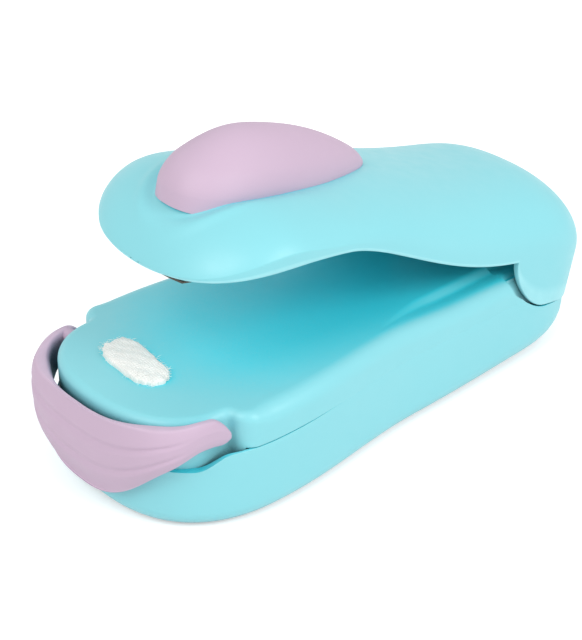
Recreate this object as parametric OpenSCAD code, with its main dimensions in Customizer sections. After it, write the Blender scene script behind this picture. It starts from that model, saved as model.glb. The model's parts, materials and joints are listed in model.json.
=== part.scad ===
// Mini bag sealer: a battery heated hand sealer that works like a stapler.
// Built in a working frame whose Y axis starts at the hinge pin (nose towards -Y, up +Z, table at Z = 0),
// then slid along Y so that the origin is under the middle of the whole object.

/* [Base] */
// Distance from the nose tip to the battery bay
nose_room = 18.2; // [17.8:0.1:20]
// Width of the base across the front bulb
bulb_w = 40.4; // [38:0.2:44]
// Distance from the nose tip to the widest place of the bulb
bulb_at = 20.5; // [18:0.5:23]
// Distance from the hinge forward to the waist
waist_at = 28.5; // [25:0.5:32]
// Distance from the hinge forward to the place where the rear end begins to round
rear_at = 6.5; // [5:0.5:8]
// Amount by which the base narrows from its waist to the hood
rear_draw = 0.6; // [0:0.1:1]
// Height of the deck's side, from the seam with the tray to its top
deck_side = 5.5; // [5.2:0.1:6.6]
// Wall of the two base shells
base_wall = 1.6; // [1.2:0.1:1.8]
// Radius of the bottom edge of the tray, at the nose
foot_front = 3; // [2.5:0.1:4]
// Radius of the bottom edge of the tray, at the rear end
foot_rear = 8; // [6:0.1:9]
// Radius of the top edge of the deck
deck_r = 2.2; // [1.5:0.1:2.6]
// Width of the nose platform at the notches
nose_w = 32.8; // [31:0.1:33.5]
// Distance from the nose tip back to the notches
nose_l = 12.2; // [11:0.1:13]
// Length over which the shoulders behind the notches round out
shoulder_l = 3.5; // [2.5:0.1:5]

/* [Lever] */
// Width of the lever across its front bulb
lever_bulb_w = 36.6; // [35:0.2:38]
// Amount by which the lever's waist is narrower than the base's
lever_draw = 1; // [0:0.1:2]
// Amount by which the hood is wider than the base's rear
hood_over = 0.2; // [0:0.1:1]
// Distance by which the lever's nose stays behind the base's nose
lever_short = 6.7; // [5.5:0.1:8]
// Distance from the lever's nose tip to its widest place
lever_bulb_at = 11; // [10:0.1:13]
// Distance from the hinge to the rear end of the hood
hood_back = 12.8; // [12:0.1:13.6]
// Wall of the lever
lever_wall = 2; // [1.6:0.1:2.2]
// Height of the lever's crown over the hinge, at the front
crown_front = 17.3; // [17:0.1:18.4]
// Height of the lever's crown over the hinge, at the rear
crown_rear = 14.8; // [14:0.1:16]
// Height of the rim over the hinge, at the nose tip
rim_nose = 4.7; // [4.6:0.1:5.4]
// Height of the rim over the hinge, at the top of its arch
rim_arch = 9.8; // [8.5:0.1:10.2]
// Height of the rim over the hinge, in front of the ears
rim_rear = 3; // [3:0.1:3.6]
// Distance from the hinge to the top of the rim's arch
arch_at = 48; // [44:0.5:52]
// Depth of the ears and the hood below the hinge
ear_drop = 5.6; // [5:0.1:5.8]
// Length of the ears in front of the hinge
ear_l = 8.6; // [8:0.1:9.2]
// Height of the upright band along the rim
rim_band = 1.2; // [0.8:0.1:1.6]

/* [Hinge] */
// Distance from the hinge to the rear end of the base
hinge_back = 12.5; // [11.5:0.1:13.5]
// Depth of the hinge below the top of the deck
hinge_sunk = 2.7; // [2.2:0.1:3.2]
// Angle by which the lever stands open at rest
open_angle = 13; // [10:0.5:13.5]
// Diameter of the hinge pin
pin_d = 3; // [2:0.1:3.2]
// Radial running clearance of pins in their bores
run_gap = 0.05; // [0.02:0.01:0.1]
// Gap between the hood and the core of the base
hood_gap = 1; // [0.8:0.1:1.4]

/* [Thumb pad] */
// Length of the pad
pad_l = 38.5; // [34:0.5:40]
// Width of the pad
pad_w = 16.6; // [15:0.2:18]
// Distance from the lever's nose tip to the front of the pad
pad_at = 3; // [3:0.1:4]
// Distance from the front of the pad to the top of its dome
pad_apex_at = 15.5; // [14:0.5:19]
// Height of the pad's dome above its edge
pad_dome = 7; // [4:0.1:7.4]
// Height of the pad's edge over the hinge, at its front
pad_front_edge = 13.6; // [13.4:0.1:14.6]
// Height of the pad's edge over the hinge, at its rear tip
pad_rear_edge = 15.8; // [15.4:0.1:17]
// Height of the seat of the pad above the hinge
pad_seat = 12.8; // [12.6:0.1:13.2]
// Width of the sunk ledge round the pad
ledge_w = 3; // [1:0.1:3.5]
// Rise of the ledge towards its outer edge
ledge_rise = 0.8; // [0.4:0.1:1.2]
// Clearance round the pad
pad_gap = 0.2; // [0.1:0.05:0.4]

/* [Latch collar] */
// Thickness of the collar
latch_t = 1.8; // [1.6:0.1:2.2]
// Gap between the collar and the nose tip
latch_gap = 0.8; // [0.6:0.1:1.4]
// Distance from the side of the nose to the outside of the collar's end
latch_over = 2; // [1.9:0.1:2.6]
// Height of the collar's lower edge at the front
latch_low = 5.2; // [4:0.1:7]
// Depth of the collar's upper edge below the deck, at the front
latch_drop = 3; // [2.2:0.1:4.7]
// Diameter of the collar's pins
latch_pin_d = 2; // [1.4:0.1:2.2]
// Distance from the nose tip to the collar's pins
latch_at = 8.5; // [8:0.1:9.5]
// Depth of the collar's pins below the deck
latch_sunk = 1.8; // [1.4:0.1:2.2]

/* [Heater] */
// Length of the heated strip, across the nose
heat_l = 12.8; // [10:0.1:14]
// Width of the heated strip
heat_w = 5.6; // [4.5:0.1:6]
// Height of the cloth cover above the deck
heat_rise = 1.2; // [0.9:0.1:1.3]
// Distance from the nose tip to the middle of the strip
heat_at = 10; // [9.6:0.1:10.4]
// Sideways offset of the strip from the middle of the nose
heat_side = -1.8; // [-2:0.1:0]

/* [Power] */
// Diameter of a cell
cell_d = 14.5; // [10.5:0.5:14.5]
// Length of a cell with its contact nub
cell_l = 50.5; // [44.5:0.5:50.5]
// Clearance above the cells
cell_room = 0.1; // [0.1:0.05:0.4]
// Room between the cells and each side wall at the waist
cell_side = 1.35; // [1.2:0.05:2]
// Thickness of the contact plates
plate_t = 0.4; // [0.3:0.1:0.6]
// Amount by which the battery door is narrower than the two cells
door_draw = 0.3; // [0.1:0.1:3]
// Clearance round the battery door
door_gap = 0.2; // [0.15:0.05:0.4]
// Diameter of the lead wires
wire_d = 1.2; // [0.8:0.1:1.4]

/* [Fasteners] */
// Diameter of the screw shanks
screw_d = 2; // [1.6:0.1:2.2]
// Diameter of the screw heads
screw_head_d = 4.2; // [3.4:0.1:4.4]

/* [Hidden] */
$fn = 48;
TURQUOISE = [0.42, 0.82, 0.87];
LILAC = [0.82, 0.72, 0.82];
STEEL = [0.75, 0.76, 0.78];
COPPER = [0.78, 0.7, 0.5];
BLACK = [0.12, 0.11, 0.1];
SILICONE = [0.25, 0.2, 0.14];
SLEEVE = [0.2, 0.22, 0.25];

// A hair of overlap between solids that are joined or cut
eps = 0.01;
// Longer than anything that it passes through
far = 60;
// Radial clearance of a screw that bites, and of a screw that passes freely
bite_gap = 0.02;
free_gap = 0.2;

// Battery bay, which sets the height, the waist and the length of the base
floor_t = base_wall;
rib_t = 1.4;
cell_lift = 0.4;
cell_part = 0.5;
cell_x = (cell_d + cell_part) / 2;
cell_z = floor_t + cell_lift + cell_d / 2;
cells_w = 2 * cell_d + cell_part;
nub_l = 1.3;
nub_d = 5.5;
spring_room = 1.8;
bay_step = 0.6;
bay_back = bay_step - ear_l;
bay_front = bay_back - cell_l - spring_room;
well_front = bay_back + plate_t + rib_t;
deck_h = floor_t + cell_lift + cell_d + cell_room + base_wall;
seam_h = deck_h - deck_side;
hinge_h = deck_h - hinge_sunk;
latch_h = deck_h - latch_sunk;
waist_w = cells_w + 2 * (cell_side + base_wall);
rear_w = waist_w - rear_draw;
hood_w = rear_w + hood_over;
lever_waist_w = waist_w - lever_draw;
door_w = cells_w - door_draw;

// Places along Y, from the hinge
end_y = hinge_back;
tip_y = bay_front - nose_room;
base_l = end_y - tip_y;
lever_reach = -tip_y - lever_short;
bulb_y = tip_y + bulb_at;
waist_y = -waist_at;
rear_y = -rear_at;
notch_y = tip_y + nose_l;
shoulder_y = notch_y + shoulder_l;
latch_y = tip_y + latch_at;
heat_y = tip_y + heat_at;

// Powers of the superellipses that round the ends: higher is squarer
base_nose_p = 2.45;
base_rear_p = 2.6;
nose_p = 2;
lever_nose_p = 2.15;
lever_rear_p = 3.2;
nose_rise_p = 2.6;
roof_rise_p = 3.3;
ear_p = 1.5;
recess_p = 1.6;

function mix(a, b, u) = a + (b - a) * u;
function ease(u) = (1 - cos(180 * min(1, max(0, u)))) / 2;
function super(t, p) = pow(max(0, 1 - pow(min(1, max(0, t)), p)), 1 / p);
function steps(n) = [for (i = [0:n]) i / n];
function turned(pts) = [for (i = [len(pts) - 1:-1:0]) pts[i]];
function flipped(pts) = [for (q = pts) [q.x, -q.y]];
function tail(pts) = [for (i = [1:len(pts) - 1]) pts[i]];

// Half of a rounded end, from its tip to its full width
function end_arc(y0, half, length, p, n, cut = 90) =
  [for (u = steps(n)) let (a = cut * (1 - u))
    [half * pow(cos(a), 2 / p), y0 - length * pow(sin(a), 2 / p)]];

// A half plan moved inwards, square to itself, by its own distance at each point
least_x = 0.2;
function inset_by(pts, d) = let (last = len(pts) - 1)
  [for (k = [0:last]) k == 0 ? [0, pts[0].y + d[0]] : k == last ? [0, pts[last].y - d[last]]
    : let (t = pts[k + 1] - pts[k - 1], n = [-t.y, t.x] / norm(t))
      [max(least_x, pts[k].x + d[k] * n.x), pts[k].y + d[k] * n.y]];
function inset(pts, d) = inset_by(pts, [for (q = pts) d]);

// A half plan closed by its mirror image, flat or with a height at each point
function loop2(pts) = concat(pts, [for (k = [len(pts) - 2:-1:1]) [-pts[k].x, pts[k].y]]);
function ring_by(pts, z) = concat(
  [for (k = [0:len(pts) - 1]) [pts[k].x, pts[k].y, z[k]]],
  [for (k = [len(pts) - 2:-1:1]) [-pts[k].x, pts[k].y, z[k]]]);
function ring(pts, z) = ring_by(pts, [for (q = pts) z]);

// Closed skin over a row of rings; the end caps are strips across a mirror plane or fans
module loft(rings, strips = true) {
  n = len(rings[0]);
  m = len(rings);
  half = n / 2;
  sides = [for (i = [0:m - 2], k = [0:n - 1]) let (a = i * n + k, b = i * n + (k + 1) % n)
    each [[a, a + n, b + n], [a, b + n, b]]];
  strip = [for (k = [0:half - 1]) let (r = k, r2 = k + 1, l2 = (n - k - 1) % n, l = (n - k) % n)
    each concat(r2 == l2 ? [] : [[r, r2, l2]], r == l ? [] : [[r, l2, l]])];
  fan = [for (k = [1:n - 2]) [0, k, k + 1]];
  cap = strips ? strip : fan;
  top = [for (f = cap) [for (i = [2:-1:0]) f[i] + (m - 1) * n]];
  polyhedron(points = [for (r = rings) each r], faces = concat(cap, sides, top));
}

// Tube swept along a path with flat ends
function tube_ring(path, k, r, n) = let (
  last = len(path) - 1,
  t = path[min(last, k + 1)] - path[max(0, k - 1)],
  w = t / norm(t),
  ref = abs(w.z) > 0.9 ? [1, 0, 0] : [0, 0, 1],
  c = cross(w, ref),
  u = c / norm(c),
  v = cross(w, u))
  [for (i = [0:n - 1]) path[k] + r * (cos(360 * i / n) * u + sin(360 * i / n) * v)];
module tube(path, d, n)
  loft([for (k = [0:len(path) - 1]) tube_ring(path, k, d / 2, n)], strips = false);

// Smooth curve through a row of points
function smooth(p, n) = [for (i = [0:len(p) - 2], u = [0:n - 1]) let (
  a = p[max(0, i - 1)], b = p[i], c = p[i + 1], d = p[min(len(p) - 1, i + 2)], t = u / n)
  0.5 * (2 * b + (c - a) * t + (2 * a - 5 * b + 4 * c - d) * t * t
    + (3 * b - a - 3 * c + d) * t * t * t)];

// Helix along Z whose radius runs from r0 to r1
function coil(r0, r1, height, turns, wire, per_turn) = [for (u = steps(turns * per_turn)) let (
  r = mix(r0, r1, u), a = 360 * turns * u)
  [r * cos(a), r * sin(a), mix(wire / 2, height - wire / 2, u)]];
// Least gap between two stretches of a coil's wire, measured on its points
function coil_gap(path, wire, per_turn) = let (skip = floor(per_turn * 0.6))
  min([for (i = [0:len(path) - 1 - skip], k = [i + skip:len(path) - 1]) norm(path[i] - path[k])]) - wire;

module across(y, z) translate([0, y, z]) rotate([0, 90, 0]) children();
module both_sides() {
  children();
  mirror([1, 0, 0]) children();
}

// Right half of the base's plan, from the nose tip to the rear end
function base_mid(y) =
  y < waist_y ? mix(bulb_w, waist_w, ease((y - bulb_y) / (waist_y - bulb_y))) / 2
              : mix(waist_w, rear_w, ease((y - waist_y) / (rear_y - waist_y))) / 2;
function base_nose_half(y) = bulb_w / 2 * super((bulb_y - y) / (bulb_y - tip_y), base_nose_p);
base_nose_pts = end_arc(bulb_y, bulb_w / 2, bulb_y - tip_y, base_nose_p, 12);
base_mid_pts = [for (u = steps(12)) let (y = mix(bulb_y, rear_y, u)) [base_mid(y), y]];
base_rear_pts = turned(flipped(end_arc(-rear_y, rear_w / 2, end_y - rear_y, base_rear_p, 8)));
base_half = concat(base_nose_pts, tail(base_mid_pts), tail(base_rear_pts));

// Right half of the deck's plan: the nose platform, the shoulder and then the base's own plan
nose_arc = end_arc(notch_y, nose_w / 2, nose_l, nose_p, 10);
shoulder_pts = [for (u = tail(steps(5)))
  [mix(nose_w / 2, base_nose_half(shoulder_y), sin(90 * u)), mix(notch_y, shoulder_y, 1 - cos(90 * u))]];
deck_front_pts = [for (u = tail(steps(3))) let (y = mix(shoulder_y, bulb_y, u)) [base_nose_half(y), y]];
deck_half = concat(nose_arc, shoulder_pts, deck_front_pts, tail(base_mid_pts), tail(base_rear_pts));

// Core of the base, which stands between the ears and in front of the hood's rear wall
core_inset = lever_wall + hood_gap;
core_step = 5.5;
core_back = hinge_back - core_step;
recess_y = 1;
recess_ahead = 1.4;
recess_under = 0.9;
recess_l = ear_l + recess_ahead;
recess_top = 3;
recess_drop = recess_top + ear_drop + recess_under;
recess_end = recess_top - recess_drop - tan(open_angle) * (far - recess_y);
recess_pts = concat(
  [for (u = steps(10)) [recess_y - recess_l * (1 - u), recess_top - recess_drop * super(1 - u, recess_p)]],
  [[far, recess_end], [far, far], [recess_y - recess_l, far]]);
module core_plan(d) intersection() {
  polygon(loop2(inset(base_half, core_inset + d)));
  translate([-bulb_w, tip_y]) square([2 * bulb_w, core_back - d - tip_y]);
}
// Room for the ears and the hood on both sides of the core and behind it
module hood_room() difference() {
  translate([0, 0, hinge_h]) rotate([90, 0, 90])
    linear_extrude(height = far, center = true) polygon(recess_pts);
  linear_extrude(height = 2 * far, center = true) core_plan(0);
}

// Screw bosses that hold the tray to the deck
boss_lead = 0.7;
front_boss = [12.8, notch_y - boss_lead];
rear_boss = [6.5, 4.2];
boss_wall = 0.8;
boss_d = screw_head_d + 2 * boss_wall;
head_h = 1.8;
head_sink = 0.6;
head_z = head_sink + head_h;
head_room = 0.3;
screw_bite = 3;
screw_top = seam_h + screw_bite;
module at_bosses() both_sides() for (q = [front_boss, rear_boss]) translate([q.x, q.y, 0]) children();

// Base tray, whose bottom edge rounds more and more towards the rear
function foot(y) = mix(foot_front, foot_rear, pow((y - tip_y) / base_l, 2));
function foot_ring(wall, a) = let (r = [for (q = base_half) foot(q.y) - wall])
  ring_by(inset_by(base_half, [for (k = r) wall + k * (1 - sin(a))]), [for (k = r) wall + k * (1 - cos(a))]);
module tray_body() loft(concat([for (u = steps(4)) foot_ring(0, 90 * u)], [ring(base_half, seam_h)]));
module tray_hollow() loft(concat([for (u = steps(2)) foot_ring(base_wall, 90 * u)],
  [ring(inset(base_half, base_wall), seam_h + 1)]));
module base_tray() color(TURQUOISE) difference() {
  tray_body();
  difference() {
    tray_hollow();
    tray_ribs();
  }
  at_bosses() {
    translate([0, 0, -1]) cylinder(d = screw_head_d + 2 * head_room, h = head_z + 1);
    cylinder(d = screw_d + 2 * free_gap, h = far);
  }
  door_box(door_gap, -1, floor_t + 1);
  hood_room();
}
// Bosses, cross ribs and the walls round the rear well, standing on the floor
module tray_ribs() translate([0, 0, floor_t - eps]) {
  at_bosses() cylinder(d = boss_d, h = seam_h - floor_t + eps);
  for (y = [bay_front - plate_t - rib_t, bay_back + plate_t])
    translate([-waist_w / 2, y, 0]) cube([waist_w, rib_t, seam_h - floor_t + eps]);
  linear_extrude(height = seam_h - floor_t + eps) well_wall();
}
module well_wall() difference() {
  translate([-bulb_w, well_front - eps]) square([2 * bulb_w, far]);
  core_plan(base_wall);
}

// Base deck
deck_roof = deck_h - base_wall;
slot_gap = 0.4;
sleeve_l = 5;
sleeve_root = 0.5;
bearing_l = 4;
bearing_root = 0.5;
bearing_wall = 1.2;
bearing_d = latch_pin_d + 2 * bearing_wall;
post_y = -4;
post_d = 3;
post_room = 0.8;
module base_deck() color(TURQUOISE) difference() {
  loft(concat([ring(deck_half, seam_h)], [for (u = steps(4)) let (a = 90 * u)
    ring(inset(deck_half, deck_r * (1 - cos(a))), deck_h - deck_r * (1 - sin(a)))]));
  difference() {
    loft([for (z = [seam_h - 1, deck_roof]) ring(inset(deck_half, base_wall), z)]);
    deck_ribs();
  }
  at_bosses() cylinder(d = screw_d + 2 * bite_gap, h = screw_top + free_gap);
  heater_block(slot_gap, seam_h, far);
  translate([0, post_y, deck_h]) cube([post_d + 2 * post_room, post_d + 2 * post_room, far], center = true);
  across(0, hinge_h) cylinder(d = pin_d + 2 * bite_gap, h = far, center = true);
  across(latch_y, latch_h) cylinder(d = latch_pin_d + 2 * run_gap, h = far, center = true);
  hood_room();
}
// Bosses, hinge sleeves, collar bearings and the walls round the rear well, hanging under the deck
module deck_ribs() {
  at_bosses() translate([0, 0, seam_h]) cylinder(d = boss_d, h = deck_h - seam_h - eps);
  both_sides() {
    translate([hood_w / 2 - core_inset - sleeve_l + sleeve_root, 0, 0]) across(0, hinge_h)
      cylinder(d = 2 * (hinge_h - seam_h), h = sleeve_l);
    translate([nose_w / 2 - bearing_l + bearing_root, 0, 0]) across(latch_y, latch_h)
      cylinder(d = bearing_d, h = bearing_l);
  }
  translate([0, 0, seam_h]) linear_extrude(height = deck_h - seam_h - eps) well_wall();
}

// Battery door: a hook at its front edge, a clip at its rear edge, outside flush with the tray
door_front = 2.6;
door_back = 0.5;
door_y = bay_front + door_front;
door_l = bay_back - door_back - door_y;
door_lift = 0.25;
hook_w = 4;
hook_l = 1.8;
hook_t = 1;
hook_gap = 0.2;
clip_h = 1.8;
module door_box(d, z0, h) translate([-door_w / 2 - d, door_y - d, z0])
  cube([door_w + 2 * d, door_l + 2 * d, h]);
module battery_door() color(TURQUOISE) {
  intersection() {
    door_box(0, door_lift, floor_t - door_lift);
    tray_body();
  }
  translate([-hook_w / 2, door_y, floor_t - eps]) cube([hook_w, hook_l, hook_gap + hook_t]);
  translate([-hook_w / 2, door_y - hook_l, floor_t + hook_gap]) cube([hook_w, 2 * hook_l, hook_t]);
  translate([-hook_w / 2, door_y + door_l - hook_t, floor_t - eps]) cube([hook_w, hook_t, clip_h]);
}

// Cells: the left one has its nub at the front, the right one at the rear
module cell() color(SLEEVE) rotate([-90, 0, 0]) {
  cylinder(d = cell_d, h = cell_l - nub_l);
  cylinder(d = nub_d, h = cell_l);
}
module cell_left() translate([-cell_x, bay_front + cell_l, cell_z]) rotate([0, 0, 180]) cell();
module cell_right() translate([cell_x, bay_back - cell_l, cell_z]) cell();

// Contact plates at both ends of the bay, with a conical spring at each minus end
plate_w = 12;
plate_h = 9;
module plate(x, y, w) color(COPPER) translate([x - w / 2, y, cell_z - plate_h / 2])
  cube([w, plate_t, plate_h]);
module front_link() plate(0, bay_front - plate_t, 2 * cell_x + plate_w);
module rear_plus_plate() plate(cell_x, bay_back, plate_w);
module rear_minus_plate() plate(-cell_x, bay_back, plate_w);
cell_wire = 0.5;
cell_turns = 2;
cell_per_turn = 12;
cell_coil_foot = 4.6;
cell_coil_top = 2.2;
cell_coil = coil(cell_coil_foot, cell_coil_top, spring_room, cell_turns, cell_wire, cell_per_turn);
echo(cell_spring_gap = coil_gap(cell_coil, cell_wire, cell_per_turn));
module cell_springs() color(STEEL) {
  translate([cell_x, bay_front, cell_z]) rotate([-90, 0, 0]) tube(cell_coil, cell_wire, 6);
  translate([-cell_x, bay_back, cell_z]) rotate([90, 0, 0]) tube(cell_coil, cell_wire, 6);
}

// Switch in the rear well: a bent leaf below the hinge pin, over a fixed contact
leaf_t = 0.3;
leaf_w = 5;
leaf_foot = 6;
leaf_clear = 1;
leaf_top = hinge_h - pin_d / 2 - leaf_clear;
leaf_gap = 1.2;
contact_foot = 4;
contact_reach = 5;
well_back = core_back - base_wall;
leaf_short = 3;
leaf_end = well_back - leaf_short;
contact_top = leaf_top - leaf_t - leaf_gap;
module switch_leaf() color(COPPER) translate([-leaf_w / 2, well_front, 0]) {
  translate([0, 0, leaf_top - leaf_t]) cube([leaf_w, leaf_end - well_front, leaf_t]);
  translate([0, 0, leaf_foot]) cube([leaf_w, leaf_t, leaf_top - leaf_foot]);
}
module switch_contact() color(COPPER) translate([-leaf_w / 2, 0, 0]) {
  translate([0, well_back - leaf_t, contact_foot]) cube([leaf_w, leaf_t, contact_top - contact_foot]);
  translate([0, well_back - contact_reach, contact_top - leaf_t]) cube([leaf_w, contact_reach, leaf_t]);
}

// Heater: a holder through the deck, a ribbon folded over it, a cloth cover on top
holder_rise = 0.1;
holder_top = deck_h + holder_rise;
holder_rim = 1.1;
rim_h = 3;
leg_in = 1.5;
ribbon_t = 0.2;
ribbon_w = 2.4;
ribbon_in = 0.9;
ribbon_leg = 4;
ribbon_gap = 0.1;
holder_low = 6;
module heater_block(d, z0, z1) translate([heat_side - heat_l / 2 - d, heat_y - heat_w / 2 - d, z0])
  cube([heat_l + 2 * d, heat_w + 2 * d, z1 - z0]);
ribbon_x = heat_l / 2 - ribbon_in;
module ribbon_legs(d) for (s = [-1, 1]) translate([heat_side + s * ribbon_x, heat_y, holder_top])
  translate([-ribbon_t / 2 - d, -ribbon_w / 2 - d, -ribbon_leg - d])
    cube([ribbon_t + 2 * d, ribbon_w + 2 * d, ribbon_leg + eps + d]);
module heater_holder() color(BLACK) difference() {
  union() {
    heater_block(0, holder_low, holder_top);
    heater_block(holder_rim, deck_roof - rim_h, deck_roof);
    heater_block(-leg_in, floor_t, holder_low + eps);
  }
  ribbon_legs(ribbon_gap);
}
module heater_ribbon() color(STEEL) {
  translate([heat_side - heat_l / 2 + ribbon_in - ribbon_t / 2, heat_y - ribbon_w / 2, holder_top])
    cube([heat_l - 2 * ribbon_in + ribbon_t, ribbon_w, ribbon_t]);
  ribbon_legs(0);
}
cover_p = 3.4;
cover_base = holder_top + ribbon_t;
cover_top = deck_h + heat_rise;
cover_turn = 75;
cover_draw = 0.55;
function cover_half(s) = let (
  front = end_arc(0, s * heat_l / 2, s * heat_w / 2, cover_p, 8))
  concat(front, tail(turned(flipped(front))));
module heater_cover() color("white") translate([heat_side, heat_y, 0])
  loft([for (u = steps(4)) let (a = cover_turn * u)
    ring(cover_half(1 - cover_draw * (1 - cos(a))), mix(cover_base, cover_top, sin(a) / sin(cover_turn)))]);

// Lead wires, laid above the cells along the two side walls
wire_room = 0.5;
wire_x = waist_w / 2 - base_wall - wire_d / 2 - wire_room;
wire_z = deck_roof - wire_d / 2 - wire_room;
wire_touch = 0.1;
plate_top = cell_z + plate_h / 2 + wire_d / 2 + wire_touch;
feed_start = [[1.4, well_back - leaf_t - wire_d / 2 - wire_touch, wire_z - 8.5],
  [4, well_back - 4.5, wire_z - 7], [wire_x - 8, well_front + 3.4, wire_z - 5],
  [wire_x - 4.8, well_front + 2.4, wire_z - 2.6], [wire_x - 3.5, well_front + 0.4, wire_z - 0.8]];
return_start = [[cell_x + 1, bay_back + plate_t / 2, plate_top],
  [wire_x - 4.4, bay_back + 0.1, plate_top + 0.6]];
wire_mid = [[wire_x - 2.5, bay_back + 0.3, wire_z], [wire_x - 1.4, bay_back - 2.4, wire_z],
  [wire_x, bay_back - 10, wire_z], [wire_x, waist_y - 5, wire_z], [wire_x, notch_y + 8, wire_z],
  [wire_x - 2.5, notch_y + 4.6, wire_z - 1.7], [heat_l / 2 + 3, notch_y + 1.6, wire_z - 3.3]];
function wire_path(start, side) = smooth(concat(start, wire_mid,
  [[side * heat_side + heat_l / 2 + wire_d / 2 + wire_touch, heat_y + 0.4, wire_z - 5]]), 3);
module lead_wire_feed() color("firebrick") tube(wire_path(feed_start, 1), wire_d, 8);
module lead_wire_return() color(BLACK) mirror([1, 0, 0]) tube(wire_path(return_start, -1), wire_d, 8);

module base_screws() color(STEEL) at_bosses() translate([0, 0, head_sink]) {
  cylinder(d = screw_head_d, h = head_h);
  cylinder(d = screw_d, h = screw_top - head_sink);
}

// Hinge pin, held in the sleeves of the deck and running in blind bores of the two ears
pin_in_skin = 0.9;
pin_l = hood_w - 2 * pin_in_skin;
module hinge_pin() color(STEEL) across(0, hinge_h) cylinder(d = pin_d, h = pin_l, center = true);

// Lever, drawn closed with the hinge at the origin and then opened
module opened() translate([0, 0, hinge_h]) rotate([-open_angle, 0, 0]) children();

lever_tip = -lever_reach;
lever_bulb_y = lever_tip + lever_bulb_at;
lever_waist_y = -38;
crown_lag = 4;
crown_y = lever_bulb_y + crown_lag;
crown_end = -8;
roof_y = -5;
hood_y = -2;
ear_y = 0.6;
ear_lead = 1.5;
rim_front_p = 1.85;
rim_rear_p = 0.8;
function lever_rim(y) = y < -arch_at
  ? mix(rim_arch, rim_nose, pow((-arch_at - y) / (lever_reach - arch_at), rim_front_p))
  : mix(rim_arch, rim_rear, ease(pow((y + arch_at) / (arch_at - ear_l - ear_lead), rim_rear_p)));
function lever_low(y) = y < -ear_l ? lever_rim(y) : y > ear_y ? -ear_drop
  : mix(rim_rear, -ear_drop, super((ear_y - y) / (ear_y + ear_l), ear_p));
function lever_mid_half(y) = y < lever_waist_y
  ? mix(lever_bulb_w, lever_waist_w, ease((y - lever_bulb_y) / (lever_waist_y - lever_bulb_y))) / 2
  : mix(lever_waist_w, hood_w, ease((y - lever_waist_y) / (-ear_l - lever_waist_y))) / 2;
// Share of the way into the rounded nose, the rounded rear and the falling roof, t inside the outside
function nose_t(y, t) = (lever_bulb_y - y) / (lever_bulb_at - t);
function rear_t(y, t) = (y - hood_y) / (hood_back - t - hood_y);
function roof_t(y, t) = (y - roof_y) / (hood_back - t - roof_y);
function lever_half(y, t) = y < lever_bulb_y ? (lever_bulb_w / 2 - t) * super(nose_t(y, t), lever_nose_p)
  : y > hood_y ? (hood_w / 2 - t) * super(rear_t(y, t), lever_rear_p) : lever_mid_half(y) - t;
function crown(y, t) = mix(crown_front, crown_rear, ease((y - crown_y) / (crown_end - crown_y))) - t;
function rise(y, t) = y < lever_bulb_y ? super(nose_t(y, t), nose_rise_p) : super(roof_t(y, t), roof_rise_p);
section_front_p = 1.75;
section_rear_p = 2.3;
function section_p(y) = mix(section_front_p, section_rear_p,
  ease((y - lever_bulb_y) / (-ear_l - lever_bulb_y)));
// One cross-section: the skirt, then a superellipse from rim to rim; low moves the skirt's foot down
arc_steps = 10;
least_band = 0.2;
function lever_ring(y, t, low) = let (
  w = lever_half(y, t), k = rise(y, t), p = section_p(y), hood = y > roof_y,
  ground = hood ? -ear_drop : lever_rim(y),
  band = mix(ground, (hood ? rim_rear : lever_rim(y)) + rim_band, k),
  head = mix(ground, crown(y, t), k),
  foot_z = min(lever_low(y), band - least_band) - low)
  concat([[-w, y, foot_z]],
    [for (u = steps(2 * arc_steps)) let (c = -cos(180 * u), s = sin(180 * u))
      [w * sign(c) * pow(abs(c), 2 / p), y, mix(band, head, pow(s, 2 / p))]],
    [[w, y, foot_z]]);
end_cut = 85;
rear_cut = 73;
hood_turn = ear_y + 1.5;
ear_step = 0.5;
ear_near = 1.7;
function lever_places(t) = concat(
  [for (q = end_arc(lever_bulb_y, 1, lever_bulb_at - t, lever_nose_p, 9, end_cut)) q.y],
  [for (u = tail(steps(14))) mix(lever_bulb_y, -ear_l - ear_step, u)],
  [for (u = steps(6)) -ear_l + (ear_y + ear_l) * pow(u, ear_near)],
  [for (q = turned(end_arc(-hood_turn, 1, hood_back - t - hood_turn, lever_rear_p, 6, rear_cut))) -q.y]);
function lever_rings(t, low) = [for (y = lever_places(t)) lever_ring(y, t, low)];

// Egg-shaped thumb pad, blunt in front, whose edge climbs along the lever's crown
pad_mid = lever_tip + pad_at + pad_l / 2;
pad_apex = lever_tip + pad_at + pad_apex_at;
pad_p = 2.2;
pad_taper = 0.2;
pad_turn = 86;
pad_round = 0.9;
pad_steps = 24;
function pad_half(d) = [for (u = steps(pad_steps)) let (
  c = -cos(180 * u), y = sign(c) * pow(abs(c), 2 / pad_p), half = (pad_w / 2 + d) * (1 - pad_taper * y))
  [half * pow(sin(180 * u), 2 / pad_p), pad_mid + (pad_l / 2 + d) * y]];
function pad_edge(y) = mix(pad_front_edge, pad_rear_edge, (y - pad_mid) / pad_l + 0.5);
function pad_ring(s, h) = [for (q = loop2(pad_half(0))) let (y = mix(pad_apex, q.y, s))
  [s * q.x, y, pad_edge(y) + h]];
module pad_plan(d) polygon(loop2(pad_half(d)));
// Room above the ledge, open to the top
function ledge_ring(d, h) = let (half = pad_half(pad_gap + d))
  ring_by(half, [for (q = half) pad_edge(q.y) + h]);
module ledge_room() loft([ledge_ring(0, 0), ledge_ring(ledge_w, ledge_rise), ledge_ring(ledge_w, far)]);
module thumb_pad() color(LILAC) opened() loft(concat([ring(pad_half(0), pad_seat)],
  [for (u = steps(7)) let (a = pad_turn * u)
    pad_ring(pow(cos(a), pad_round), pad_dome * pow(sin(a), pad_round))]));

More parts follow.
